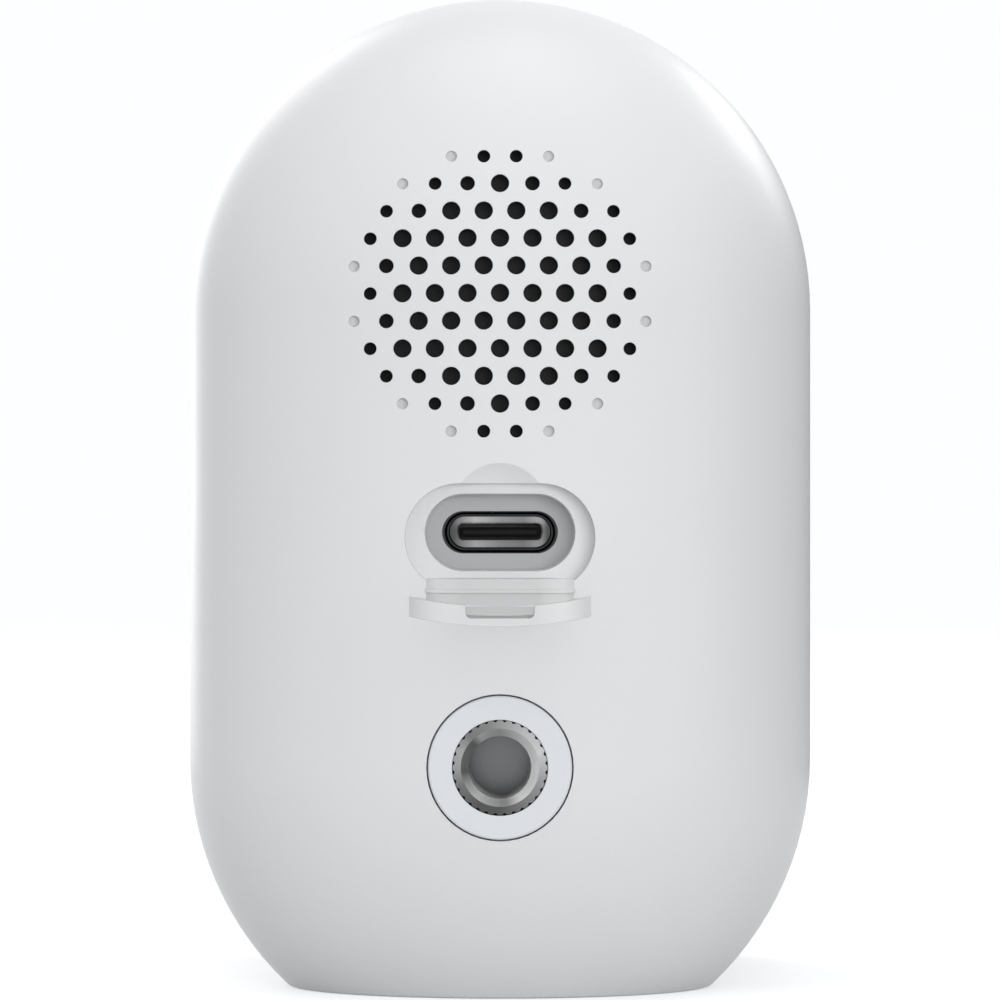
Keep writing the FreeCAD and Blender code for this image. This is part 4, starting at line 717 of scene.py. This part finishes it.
# The grille's cutters: a bar for each hole, narrower towards the rim, with shallow dimples round it.
def grilleBars(recipe):
    size = recipe.size
    rows = grille["rows"]
    grid = recipe.node("GeometryNodeMeshGrid", {
        "Size X": size["columnPitch"] * (rows - 1), "Size Y": size["rowPitch"] * (rows - 1),
        "Vertices X": rows, "Vertices Y": rows})
    split = recipe.node("ShaderNodeSeparateXYZ", {0: recipe.node("GeometryNodeInputPosition")})
    row = (split.out("Y") / size["rowPitch"]).math("ROUND")
    x = split.out("X") + (row * 0.5).math("FRACT") * size["columnPitch"]
    z = row * size["rowPitch"]
    away = awayFrom(x, z)
    isHole = away < size["narrowReach"]
    width = size["dimple"]
    for kind, before in (("narrow", "dimple"), ("middling", "narrow"), ("wide", "middling")):
        width = width + (away < size[kind + "Reach"]) * (size[kind] - size[before])
    shallow = skinY(size, 0.0)(x, z + size["middleZ"]) - size["dimpleDepth"]
    start = shallow + isHole * (size["seatY"] - shallow)
    length = size["rearY"] + past - start
    scale = recipe.point(width, length, width)
    # Both are kept on the points before they move, where the row and column can still be read.
    kept = [("barScale", "FLOAT_VECTOR", scale), ("barHere", "FLOAT", away < size["dimpleReach"])]
    points = grid
    for name, kind, value in kept:
        points = recipe.node("GeometryNodeStoreNamedAttribute", {
            "Geometry": points, "Name": name, "Value": value}, data_type=kind, domain="POINT")
    spot = recipe.point(x, start, z + size["middleZ"])
    spots = recipe.node("GeometryNodeSetPosition", {"Geometry": points, "Position": spot})
    barScale, barHere = (recipe.node("GeometryNodeInputNamedAttribute", {"Name": name}, data_type=kind)
                         for name, kind, value in kept)
    bars = recipe.node("GeometryNodeInstanceOnPoints", {
        "Points": spots, "Selection": barHere > 0.5, "Instance": recipe.rod(0.5, 0.0, 1.0, sides=24),
        "Scale": barScale})
    return recipe.node("GeometryNodeRealizeInstances", {0: bars})


# Recess, well, throat and finger dish.
def portCutters(recipe):
    ball = recipe.node("GeometryNodeMeshUVSphere", {
        "Segments": 128, "Rings": 64, "Radius": port["dishRadius"]})
    return [recipe.slotBar(port["recessZ"], port["recessWidth"], port["recessHeight"],
                           skinY(recipe.size, port["recessDepth"]), shell["rearY"] + past, depthRows=8),
            recipe.slotBar(port["wellZ"], port["wellWidth"], port["wellHeight"],
                           port["floorY"], port["mouthY"], port["wellFlare"]),
            recipe.slotBar(port["wellZ"], port["throatWidth"], port["throatHeight"],
                           port["throatY"], port["floorY"] + past),
            recipe.moved(ball, (0, port["dishY"], port["dishZ"]), (turn / 4, 0, 0))]


# The button's hole, then the pad's recess as two boxes and four corner rods.
def underCutters(recipe):
    corner, deep, middle = under["padCorner"], under["padRecess"], under["padY"]
    x, y = under["padWidth"] / 2, under["padDepth"] / 2
    innerX, innerY = x - corner, y - corner
    pad = [recipe.box((-x, middle - innerY, -past), (x, middle + innerY, deep)),
           recipe.box((-innerX, middle - y, -past), (innerX, middle + y, deep))]
    pad += [recipe.rod(corner, -past, deep, side * innerX, middle + end * innerY, upright=True)
            for side in (-1, 1) for end in (-1, 1)]
    button = recipe.rod(under["buttonRadius"], -past, shell["floorZ"] + past, 0, under["buttonY"], 48, True)
    return [button] + pad


def makeRearShell():
    recipe = Recipe("rearShell", {**shell, **grille})
    size = recipe.size
    outer = domedBody(recipe, 0.0, 0.0, size["seamY"], shell["footRadius"], shell["seamChamfer"])
    inner = domedBody(recipe, size["wall"], size["floorZ"], size["seamY"] - past)
    kept = domedBody(recipe, size["wall"] / 2, size["floorZ"] / 2, size["seamY"])
    bosses, drilled = ([recipe.rod(*(part * mm for part in row), sides=48) for row in rows]
                       for rows in (shellBosses, shellHoles))
    wide, tall = (port[side] + 2 * port["recessWall"] for side in ("recessWidth", "recessHeight"))
    bosses.append(recipe.slotBar(port["recessZ"], wide, tall, port["blockY"], shell["rearY"]))
    for level, sign in ((shell["upperZ"], 1), (shell["lowerZ"], -1)):
        for angle in (sign * seamRib["angle"], 180 - sign * seamRib["angle"]):
            bosses.append(recipe.box(
                (seamRib["start"], shell["seamY"], -seamRib["halfWidth"]),
                (shell["radius"], shell["seamY"] + seamRib["length"], seamRib["halfWidth"]),
                (0, -math.radians(angle), 0), (0, 0, level)))
    bosses = recipe.combined("UNION", bosses)
    bore = recipe.rod(size["boreRadius"], grille["seatY"] - past, shell["rearY"] + past,
                      0, grille["middleZ"], sides=64)
    bosses = recipe.combined("DIFFERENCE", [bore], bosses)
    bosses = recipe.combined("INTERSECT", [bosses, kept])
    hollow = recipe.combined("DIFFERENCE", [inner], outer)
    whole = recipe.combined("UNION", [hollow, bosses])
    cutters = [grilleBars(recipe)] + portCutters(recipe) + underCutters(recipe) + drilled
    piece = recipe.build(recipe.combined("DIFFERENCE", cutters, whole), finishes["white_plastic"])
    smoothSkin(piece.data)
    fit(piece, "white_plastic", "rear_housing")
    return piece


# Painted shade: the grille's dimples are painted a little darker than the skin, and the hole walls nearly
# black as shadow.
def paintGrille(made):
    x, y, z = made.axes()
    away = awayFrom(x, z - grille["middleZ"])
    near = (away < grille["dimpleReach"] + grille["dimple"]) * (y > grille["seatY"])
    made.tint((y < skinY(shell, 0.12 * mm)(x, z)) * near * 0.25, (0.42, 0.42, 0.42))
    made.tint((y < skinY(shell, grille["dimpleDepth"] + 0.25 * mm)(x, z)) * near, (0.02, 0.02, 0.02))


# Where the open flap's plate, plug, rib and thumb notch begin, and the greys of painted shade they take.
flap = {
    "outerZ": 31.16 * mm,
    "notchFloorZ": 31.7 * mm,
    "innerZ": 32.64 * mm,
    "bend": 76 * mm,
    "ribZ": 33.7 * mm,
    "plugY": 32.05 * mm,
    "notchHalf": 2.78 * mm,
    "evenHalf": 3.0 * mm,
    "fade": 2.2 * mm,
    "plateShade": (0.745, 0.75, 0.75),
    "plugShade": (0.655, 0.66, 0.66),
    "rootSideShade": (0.73, 0.735, 0.735),
    "rootShade": (0.59, 0.595, 0.595),
    "notchShade": (0.55, 0.555, 0.555),
}


# Painted shade: the middle of the plate and plug, the root below the rib and the thumb notch are painted
# greyer.
def paintFlap(made):
    x, y, z = made.axes()
    middle = 1 - ((abs(x) - flap["evenHalf"]) / flap["fade"]).held()
    bend = x * x / flap["bend"]
    plug = z > bend + flap["innerZ"]
    root = plug * (z < flap["ribZ"])
    notch = (z > flap["notchFloorZ"]) * (z < flap["innerZ"])
    notch = notch * (y < flap["plugY"]) * (abs(x) < flap["notchHalf"])
    made.tint((z > bend + flap["outerZ"]) * middle, flap["plateShade"])
    made.tint(plug * middle, flap["plugShade"])
    made.tint(root, flap["rootSideShade"])
    made.tint(root * middle, flap["rootShade"])
    made.tint(notch, flap["notchShade"])


paintFlap(finishes["white_rubber"])
paintGrille(finishes["white_plastic"])
paintWell(finishes["white_plastic"])
rearShell = makeRearShell()
print("rear shell made,", len(rearShell.data.polygons), "faces")

frontFrame = mergedCopy("front_frame", "frontFrame")
smoothSkin(frontFrame.data)
fit(frontFrame, "white_plastic", "front_frame")
lensBlack = moulded("lensBlack", (0.010, 0.010, 0.011), 0.3, depth=0.002 * mm, Specular_IOR_Level=0.3)
coverPane = borderedPane("coverPane", (0.008, 0.008, 0.009), 4.95 * mm)
violetGlass = coatedGlass("coatedGlass", (0.014, 0.016, 0.028))
for node, name, slot, *rest in (
        ("port_flap", "portFlap", "white_rubber", None, "port_flap"),
        ("front_window", "frontWindow", "black_window"),
        ("lens_trim_ring", "lensTrimRing", "black_plastic", lensBlack),
        ("pir_lens", "motionLens", "milky_plastic"),
        ("lens_cover_glass", "coverGlass", "clear_glass", coverPane),
        ("insert_ring", "mountRing", "satin_ring"),
        ("base_pad", "basePad", "grey_rubber"),
        ("lens_barrel", "lensBarrel", "black_plastic", lensBlack),
        ("light_pipe", "lightPipe", "clear_plastic"),
        ("sync_button", "syncButton", "grey_rubber", None, "sync_button"),
        ("lens_elements", "lensElements", "clear_glass", violetGlass)):
    fit(mergedCopy(node, name), slot, node, *rest)
bpy.data.objects["portFlap"].visible_shadow = False  # thin silicone hardly shades the case
print("skins made")


# A closed loop round a slot, in the upright plane.
def slotLoop(width, height, y, z, corner=None, steps=10):
    radius = height / 2 if corner is None else corner
    loop = []
    for quarter, (side, rise) in enumerate(((1, 1), (-1, 1), (-1, -1), (1, -1))):
        for step in range(steps + 1):
            angle = (quarter + step / steps) * turn / 4
            loop.append((side * (width / 2 - radius) + radius * math.cos(angle), y,
                         z + rise * (height / 2 - radius) + radius * math.sin(angle)))
    return loop


# Skin stretched over a row of loops; ends are capped, or the last loop joins the first.
def loft(name, loops, ring=False):
    work = bmesh.new()
    rows = [[work.verts.new(point) for point in loop] for loop in loops]
    pairs = list(zip(rows, rows[1:])) + ([(rows[-1], rows[0])] if ring else [])
    for first, second in pairs:
        for index in range(len(first)):
            after = (index + 1) % len(first)
            work.faces.new((first[index], first[after], second[after], second[index]))
    if not ring:
        work.faces.new(rows[0])
        work.faces.new(rows[-1])
    mesh = bpy.data.meshes.new(name)
    finished(work, mesh)
    return added(name, mesh)


# The flap's strap: out of its anchor, then down over a bend to the open flap.
web = {
    "width": 7.0 * mm,
    "thickness": 0.5 * mm,
    "corner": 0.16 * mm,
    "straight": 0.4 * mm,
    "straightShare": 0.2,
    "bend": 1.25 * mm,
    "steps": 18,
}


def makeWeb():
    low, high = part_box("flap_web")
    half, bend, share = web["thickness"] / 2, web["bend"], web["straightShare"]
    centreY, centreZ = high.y - bend - half, high.z - bend - half
    section = [(x, z) for x, y, z in slotLoop(web["width"], web["thickness"], 0, 0, web["corner"], 4)]
    loops = []
    for step in range(web["steps"] + 1):
        along = step / web["steps"]
        angle = turn / 4 * (1 - max(0.0, (along - share) / (1 - share)))
        y = centreY - web["straight"] * max(0.0, 1 - along / share)
        loops.append([(x, y + math.cos(angle) * (bend + rise), centreZ + math.sin(angle) * (bend + rise))
                      for x, rise in section])
    piece = loft("flapWeb", loops)
    piece.data.materials.append(finishes["white_rubber"].material)
    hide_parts("flap_web")
    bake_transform(piece)


makeWeb()
print("strap made")

socket = {
    "metal": 0.3 * mm,
    "lip": 0.13 * mm,
    "lipSteps": 6,
    "innerLip": 0.8,
    "lipShadeDepth": 2.2 * mm,
    "plateDepth": 2.4 * mm,
    "plateThickness": 0.2 * mm,
    "plateLap": 0.05 * mm,
    "plateDish": 0.02 * mm,
    "blockCorner": 0.3 * mm,
    "blockDepth": 0.25 * mm,
    # The tongue's sections in millimetres: how far before the plate or behind the tip, width, height, corner.
    "root": [(-0.2, 6.85, 1.32, 0.34), (0.7, 6.85, 1.32, 0.34),
             (0.8, 6.70, 1.17, 0.34), (0.85, 6.39, 0.70, 0.2)],
    "nose": [(0.5, 6.39, 0.70, 0.2), (0.48, 6.69, 0.82, 0.3),
             (0.24, 6.69, 0.82, 0.3), (0.0, 6.05, 0.34, 0.12)],
}


def makeSocket():
    low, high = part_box("usb_shell")
    middle = middleZ("usb_shell")
    width, height = high.x - low.x, high.z - low.z
    lip, sheet, inner = socket["lip"], socket["metal"], socket["innerLip"]
    front, back = high.y, low.y
    angles = [step * turn / 4 / socket["lipSteps"] for step in range(socket["lipSteps"] + 1)]
    bend = [(lip * (1 - math.cos(angle)), lip * (1 - math.sin(angle))) for angle in angles]
    stations = [(0, back)] + [(inset, front - drop) for inset, drop in bend]
    stations += [(sheet - inset * inner, front - drop * inner) for inset, drop in reversed(bend)]
    stations += [(sheet, back)]
    loops = [slotLoop(width - 2 * inset, height - 2 * inset, y, middle) for inset, y in stations]
    fit(loft("socketShell", loops, ring=True), "steel", "usb_shell", darkNickel)

    plate = back + socket["plateDepth"]
    rear = plate - socket["plateThickness"]
    innerWidth, innerHeight = width - 2 * sheet, height - 2 * sheet
    wide, tall, corner = socket["root"][0][1:]
    hole = wide * mm - 2 * socket["plateLap"], tall * mm - 2 * socket["plateLap"]
    loops = [slotLoop(innerWidth, innerHeight, plate + socket["plateDish"], middle),
             slotLoop(*hole, plate, middle, corner * mm), slotLoop(*hole, rear, middle, corner * mm),
             slotLoop(innerWidth, innerHeight, rear, middle)]
    fit(loft("shieldPlate", loops, ring=True), "steel", finish=shieldMetal)

    low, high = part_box("usb_tongue")
    loops = [slotLoop(high.x - low.x, high.z - low.z, y, middle, socket["blockCorner"])
             for y in (low.y, plate - socket["blockDepth"])]
    loops += [slotLoop(wide * mm, tall * mm, plate + ahead * mm, middle, corner * mm)
              for ahead, wide, tall, corner in socket["root"]]
    loops += [slotLoop(wide * mm, tall * mm, high.y - behind * mm, middle, corner * mm)
              for behind, wide, tall, corner in socket["nose"]]
    fit(loft("socketTongue", loops), "black_plastic", "usb_tongue", tongueBlack)


# The socket's shell: bright inside, with its lip and the front of its walls painted near black as shade.
darkNickel = metal("darkNickel", (0.55, 0.55, 0.56), 0.22)
darkNickel.tint(darkNickel.axes()[1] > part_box("usb_shell")[1].y - socket["lipShadeDepth"], (0.035, 0.036, 0.038))

# The shield plate is brushed across, with painted reflections in soft bands along its length.
shieldMetal = metal("shieldMetal", (0.50, 0.50, 0.51), 0.085, (1.0, 1.0, 20.0))
shieldMetal.tint(0.85, shieldMetal.ramp(shieldMetal.axes()[0] / (8.34 * mm) + 0.5, [
    (0.03, 0.02), (0.08, 0.20), (0.13, 0.24), (0.27, 0.13), (0.50, 0.19),
    (0.75, 0.34), (0.85, 0.20), (0.92, 0.10), (0.96, 0.02)]))

# The tongue is matt, with a blacker nose.
tongueBlack = moulded("tongueBlack", (0.11, 0.11, 0.112), 0.5, Specular_IOR_Level=0.12)
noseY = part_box("usb_tongue")[1].y - socket["nose"][0][0] * mm
tongueBlack.tint(tongueBlack.axes()[1] > noseY, (0.012, 0.012, 0.013))
makeSocket()
print("socket made")


insert = {
    "knurls": 32,
    "knurlDepth": 0.15 * mm,
    "outerRadius": 3.865 * mm,
    "mouthRadius": 3.19 * mm,
    "boreRadius": 2.55 * mm,
    "threadDepth": 0.58 * mm,
    "threadPitch": 1.27 * mm,
    "threadCrest": 0.12,
    "threadFlank": 0.72,
    "threadStart": 0.22,
    "startSpeed": 14.0,
    "endSpeed": 8.0,
    "floorY": 17.0 * mm,
}


# The threaded insert: knurled outside, a chamfered mouth, a 1/4 inch thread and a closed floor.
def makeInsert():
    low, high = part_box("thread_insert")
    recipe = Recipe("tripodInsert", {
        **insert, "axisZ": middleZ("thread_insert"), "faceY": high.y, "backY": low.y})
    size = recipe.size
    steps = insert["knurls"] * 12
    mouth, bore, face = size["mouthRadius"], size["boreRadius"], size["faceY"]
    back, floor = size["backY"], size["floorY"]
    chamfer = face - (mouth - bore)

    def knurled(u, v):
        off = abs((u * size["knurls"]).math("FRACT") - 0.5) * turn * size["outerRadius"] / size["knurls"]
        dip = (1 - (off / size["knurlDepth"]).math("MINIMUM", 1.0) ** 2.0) ** 0.5
        return size["outerRadius"] - dip * size["knurlDepth"]

    def between(first, second):
        return lambda u, v: first + (second - first) * v

    def level(y):
        return lambda u, v: y + v * 0

    def threaded(u, v):
        y = between(chamfer, floor)(u, v)
        wave = abs((y / size["threadPitch"] + u).math("FRACT") - 0.5) * 2
        groove = ((wave - size["threadCrest"]) / size["threadFlank"]).held()
        start = ((v - size["threadStart"]) * size["startSpeed"]).held()
        end = ((1 - v) * size["endSpeed"]).math("MINIMUM", 1.0)
        return bore + groove * (start * end) * size["threadDepth"]

    # A turned skin: its radius and its y, each a function of the way round and along.
    def turned(along, radiusAt, yAt):
        def shape(u, v):
            radius, angle = radiusAt(u, v), u * turn
            return radius * angle.math("COSINE"), yAt(u, v), size["axisZ"] + radius * angle.math("SINE")
        return recipe.skin(steps, along, shape)

    parts = [turned(1, lambda u, v: knurled(u, v) * v, level(back)),
             turned(4, knurled, between(back, face)),
             turned(2, lambda u, v: knurled(u, v) + (mouth - knurled(u, v)) * v, level(face)),
             turned(2, between(mouth, bore), between(face, chamfer)),
             turned(64, threaded, between(chamfer, floor)),
             turned(6, lambda u, v: bore * v, level(floor))]
    fit(recipe.build(recipe.join(parts), turnedSteel), "insert_steel", "thread_insert", turnedSteel)


# Painted sheen: brightness in wedges round the face and round the chamfer, standing in for the reflections on
# turned metal.
sheen = {
    "face": [(0.0, 0.07), (0.08, 0.07), (0.18, 0.15), (0.25, 0.31), (0.31, 0.36), (0.38, 0.17),
             (0.46, 0.22), (0.57, 0.42), (0.69, 0.57), (0.80, 0.30), (0.93, 0.14), (1.0, 0.07)],
    "chamfer": [(0.0, 0.38), (0.10, 0.56), (0.17, 0.42), (0.23, 0.11), (0.37, 0.10), (0.41, 0.42),
                (0.50, 0.36), (0.60, 0.64), (0.75, 0.88), (0.91, 0.84), (0.97, 0.34)],
    "markPitch": 0.05 * mm,
}


# Turned steel, with concentric tool marks under a painted sheen; the bore is painted darker as shade, and the
# knurl's notches near black as shadow.
def turnedMetal(name, color):
    made = Finish(name, color, Metallic=1.0)
    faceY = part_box("thread_insert")[1].y
    x, y, z = made.axes()
    rise = z - middleZ("thread_insert")
    radius = awayFrom(x, rise)
    angle = (0 - x).math("ARCTAN2", rise) / turn + 0.5
    onChamfer = (radius < insert["mouthRadius"]) * (radius > insert["boreRadius"] * 0.995)
    inKnurl = (radius > insert["outerRadius"] - insert["knurlDepth"]) * (y < faceY - 0.03 * mm)
    # Painted sheen on the face and on the chamfer.
    made.tint(0.9, made.ramp(angle, sheen["face"]))
    made.tint(onChamfer * 0.9, made.ramp(angle, sheen["chamfer"]))
    # Painted shade in the bore, and painted shadow in the knurl's notches.
    made.tint(radius < insert["boreRadius"] * 0.99, (0.165, 0.168, 0.17))
    made.tint(inKnurl, (0.01, 0.01, 0.01))
    marks = made.node("ShaderNodeTexNoise", {
        "W": radius / sheen["markPitch"], "Detail": 2.0}, noise_dimensions="1D")
    made.set("Metallic", 1 - onChamfer * 0.75)
    made.set("Roughness", marks * 0.12 + 0.22)
    made.relief(marks, 0.002 * mm, 0.5)
    return made


# Painted shadow: the wall of the insert's hole is painted near black where it shows behind the knurl's
# notches.
def paintHoleShadow(made):
    low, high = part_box("thread_insert")
    x, y, z = made.axes()
    inHole = awayFrom(x, z - middleZ("thread_insert")) < insert["outerRadius"] + 0.04 * mm
    made.tint(inHole * (y > low.y), (0.01, 0.01, 0.01))


paintHoleShadow(finishes["satin_ring"])
paintHoleShadow(finishes["white_plastic"])
turnedSteel = turnedMetal("turnedSteel", (0.3, 0.3, 0.3))
makeInsert()
print("insert made")

studio = {
    "ambient": 0.66,
    "floorSize": 3.0,
    "floorColor": (0.5, 0.505, 0.51),
    "floorGlow": 0.60,
    "aim": (0, 0, 0.045),
    "lamps": [
        ("key", (-0.29, 0.86, 0.08), (0.7, 0.3), 3.8, False),
        ("top", (-0.05, 0.10, 0.85), (0.5, 0.5), 1.2, True),
        ("shoulder", (-0.46, -0.46, 0.40), (0.35, 0.25), 1.35, True),
        ("rim", (0.46, -0.74, 0.32), (0.4, 0.9), 3.4, True),
    ],
    "card": [(-0.19, 0.09), (-0.08, -0.28)],
    "cardZ": (0.001, 0.15),
    "cardColor": (0.06, 0.06, 0.062),
    "lens": 186.7,
    "eye": (0, 0.4468, 0.04115),
}
paper = (0.985, 0.992, 1.0, 1.0)


# True for what looks straight at the studio: the camera, mirrors and clear glass.
def directRays(graph):
    paths = graph.node("ShaderNodeLightPath")
    seen = paths.out("Is Camera Ray").math("MAXIMUM", paths.out("Is Glossy Ray"))
    return seen.math("MAXIMUM", paths.out("Is Transmission Ray"))


def makeWorld():
    scene = bpy.context.scene
    scene.view_settings.view_transform = "Standard"
    scene.world = bpy.data.worlds.new("studio")
    scene.world.use_nodes = True
    graph = Graph(scene.world.node_tree)
    back = scene.world.node_tree.nodes["Background"]
    glow = graph.node("ShaderNodeMix", {
        0: directRays(graph), 2: studio["ambient"], 3: 1.0}, data_type="FLOAT")
    graph.feed(back.inputs["Color"], paper)
    graph.feed(back.inputs["Strength"], glow)
    for name, place, size, watts, mirrored in studio["lamps"]:
        lamp = bpy.data.lights.new(name, "AREA")
        lamp.shape = "RECTANGLE"
        lamp.size, lamp.size_y = size
        lamp.energy = watts
        made = added(name, lamp)
        made.visible_glossy = mirrored
        aim = Vector(studio["aim"]) - Vector(place)
        made.matrix_world = Matrix.Translation(place) @ aim.to_track_quat("-Z", "Y").to_matrix().to_4x4()


# A flat sheet of the studio, whose surface is a mix of two shaders.
def flatSheet(name, corners, paint, factor, first, second):
    mesh = bpy.data.meshes.new(name)
    mesh.from_pydata(corners, [], [(0, 1, 2, 3)])
    made = added(name, mesh)
    mix = paint.node("ShaderNodeMixShader", {0: factor, 1: first, 2: second})
    paint.feed(paint.tree.nodes["Material Output"].inputs["Surface"], mix)
    made.data.materials.append(paint.material)
    return made


def makeFloor():
    half = studio["floorSize"]
    paint = Finish("floorWhite", studio["floorColor"], Roughness=0.9)
    base = Wire(paint, paint.shader.outputs[0])
    glow = paint.node("ShaderNodeEmission", {"Color": paper, "Strength": studio["floorGlow"]})
    both = paint.node("ShaderNodeAddShader", {0: base, 1: glow})
    corners = [(-half, -half, 0), (half, -half, 0), (half, half, 0), (-half, half, 0)]
    flatSheet("floor", corners, paint, directRays(paint), base, both)


# A dark card beyond the right shoulder gives the pale shell an edge; the camera looks through it.
def makeCard():
    (x1, y1), (x2, y2) = studio["card"]
    low, high = studio["cardZ"]
    paint = Finish("cardGrey", studio["cardColor"], Roughness=0.9)
    base = Wire(paint, paint.shader.outputs[0])
    seen = paint.node("ShaderNodeLightPath", output="Is Camera Ray")
    corners = [(x1, y1, low), (x2, y2, low), (x2, y2, high), (x1, y1, high)]
    card = flatSheet("card", corners, paint, seen, base, paint.node("ShaderNodeBsdfTransparent"))
    card.visible_shadow = False


def makeCamera():
    lens = bpy.data.cameras.new("camera")
    lens.sensor_width = 36
    lens.lens = studio["lens"]
    camera = added("camera", lens)
    camera.location = studio["eye"]
    camera.rotation_euler = (math.radians(90), 0, math.radians(180))
    bpy.context.scene.camera = camera


makeWorld()
makeFloor()
makeCard()
makeCamera()
print("studio set")
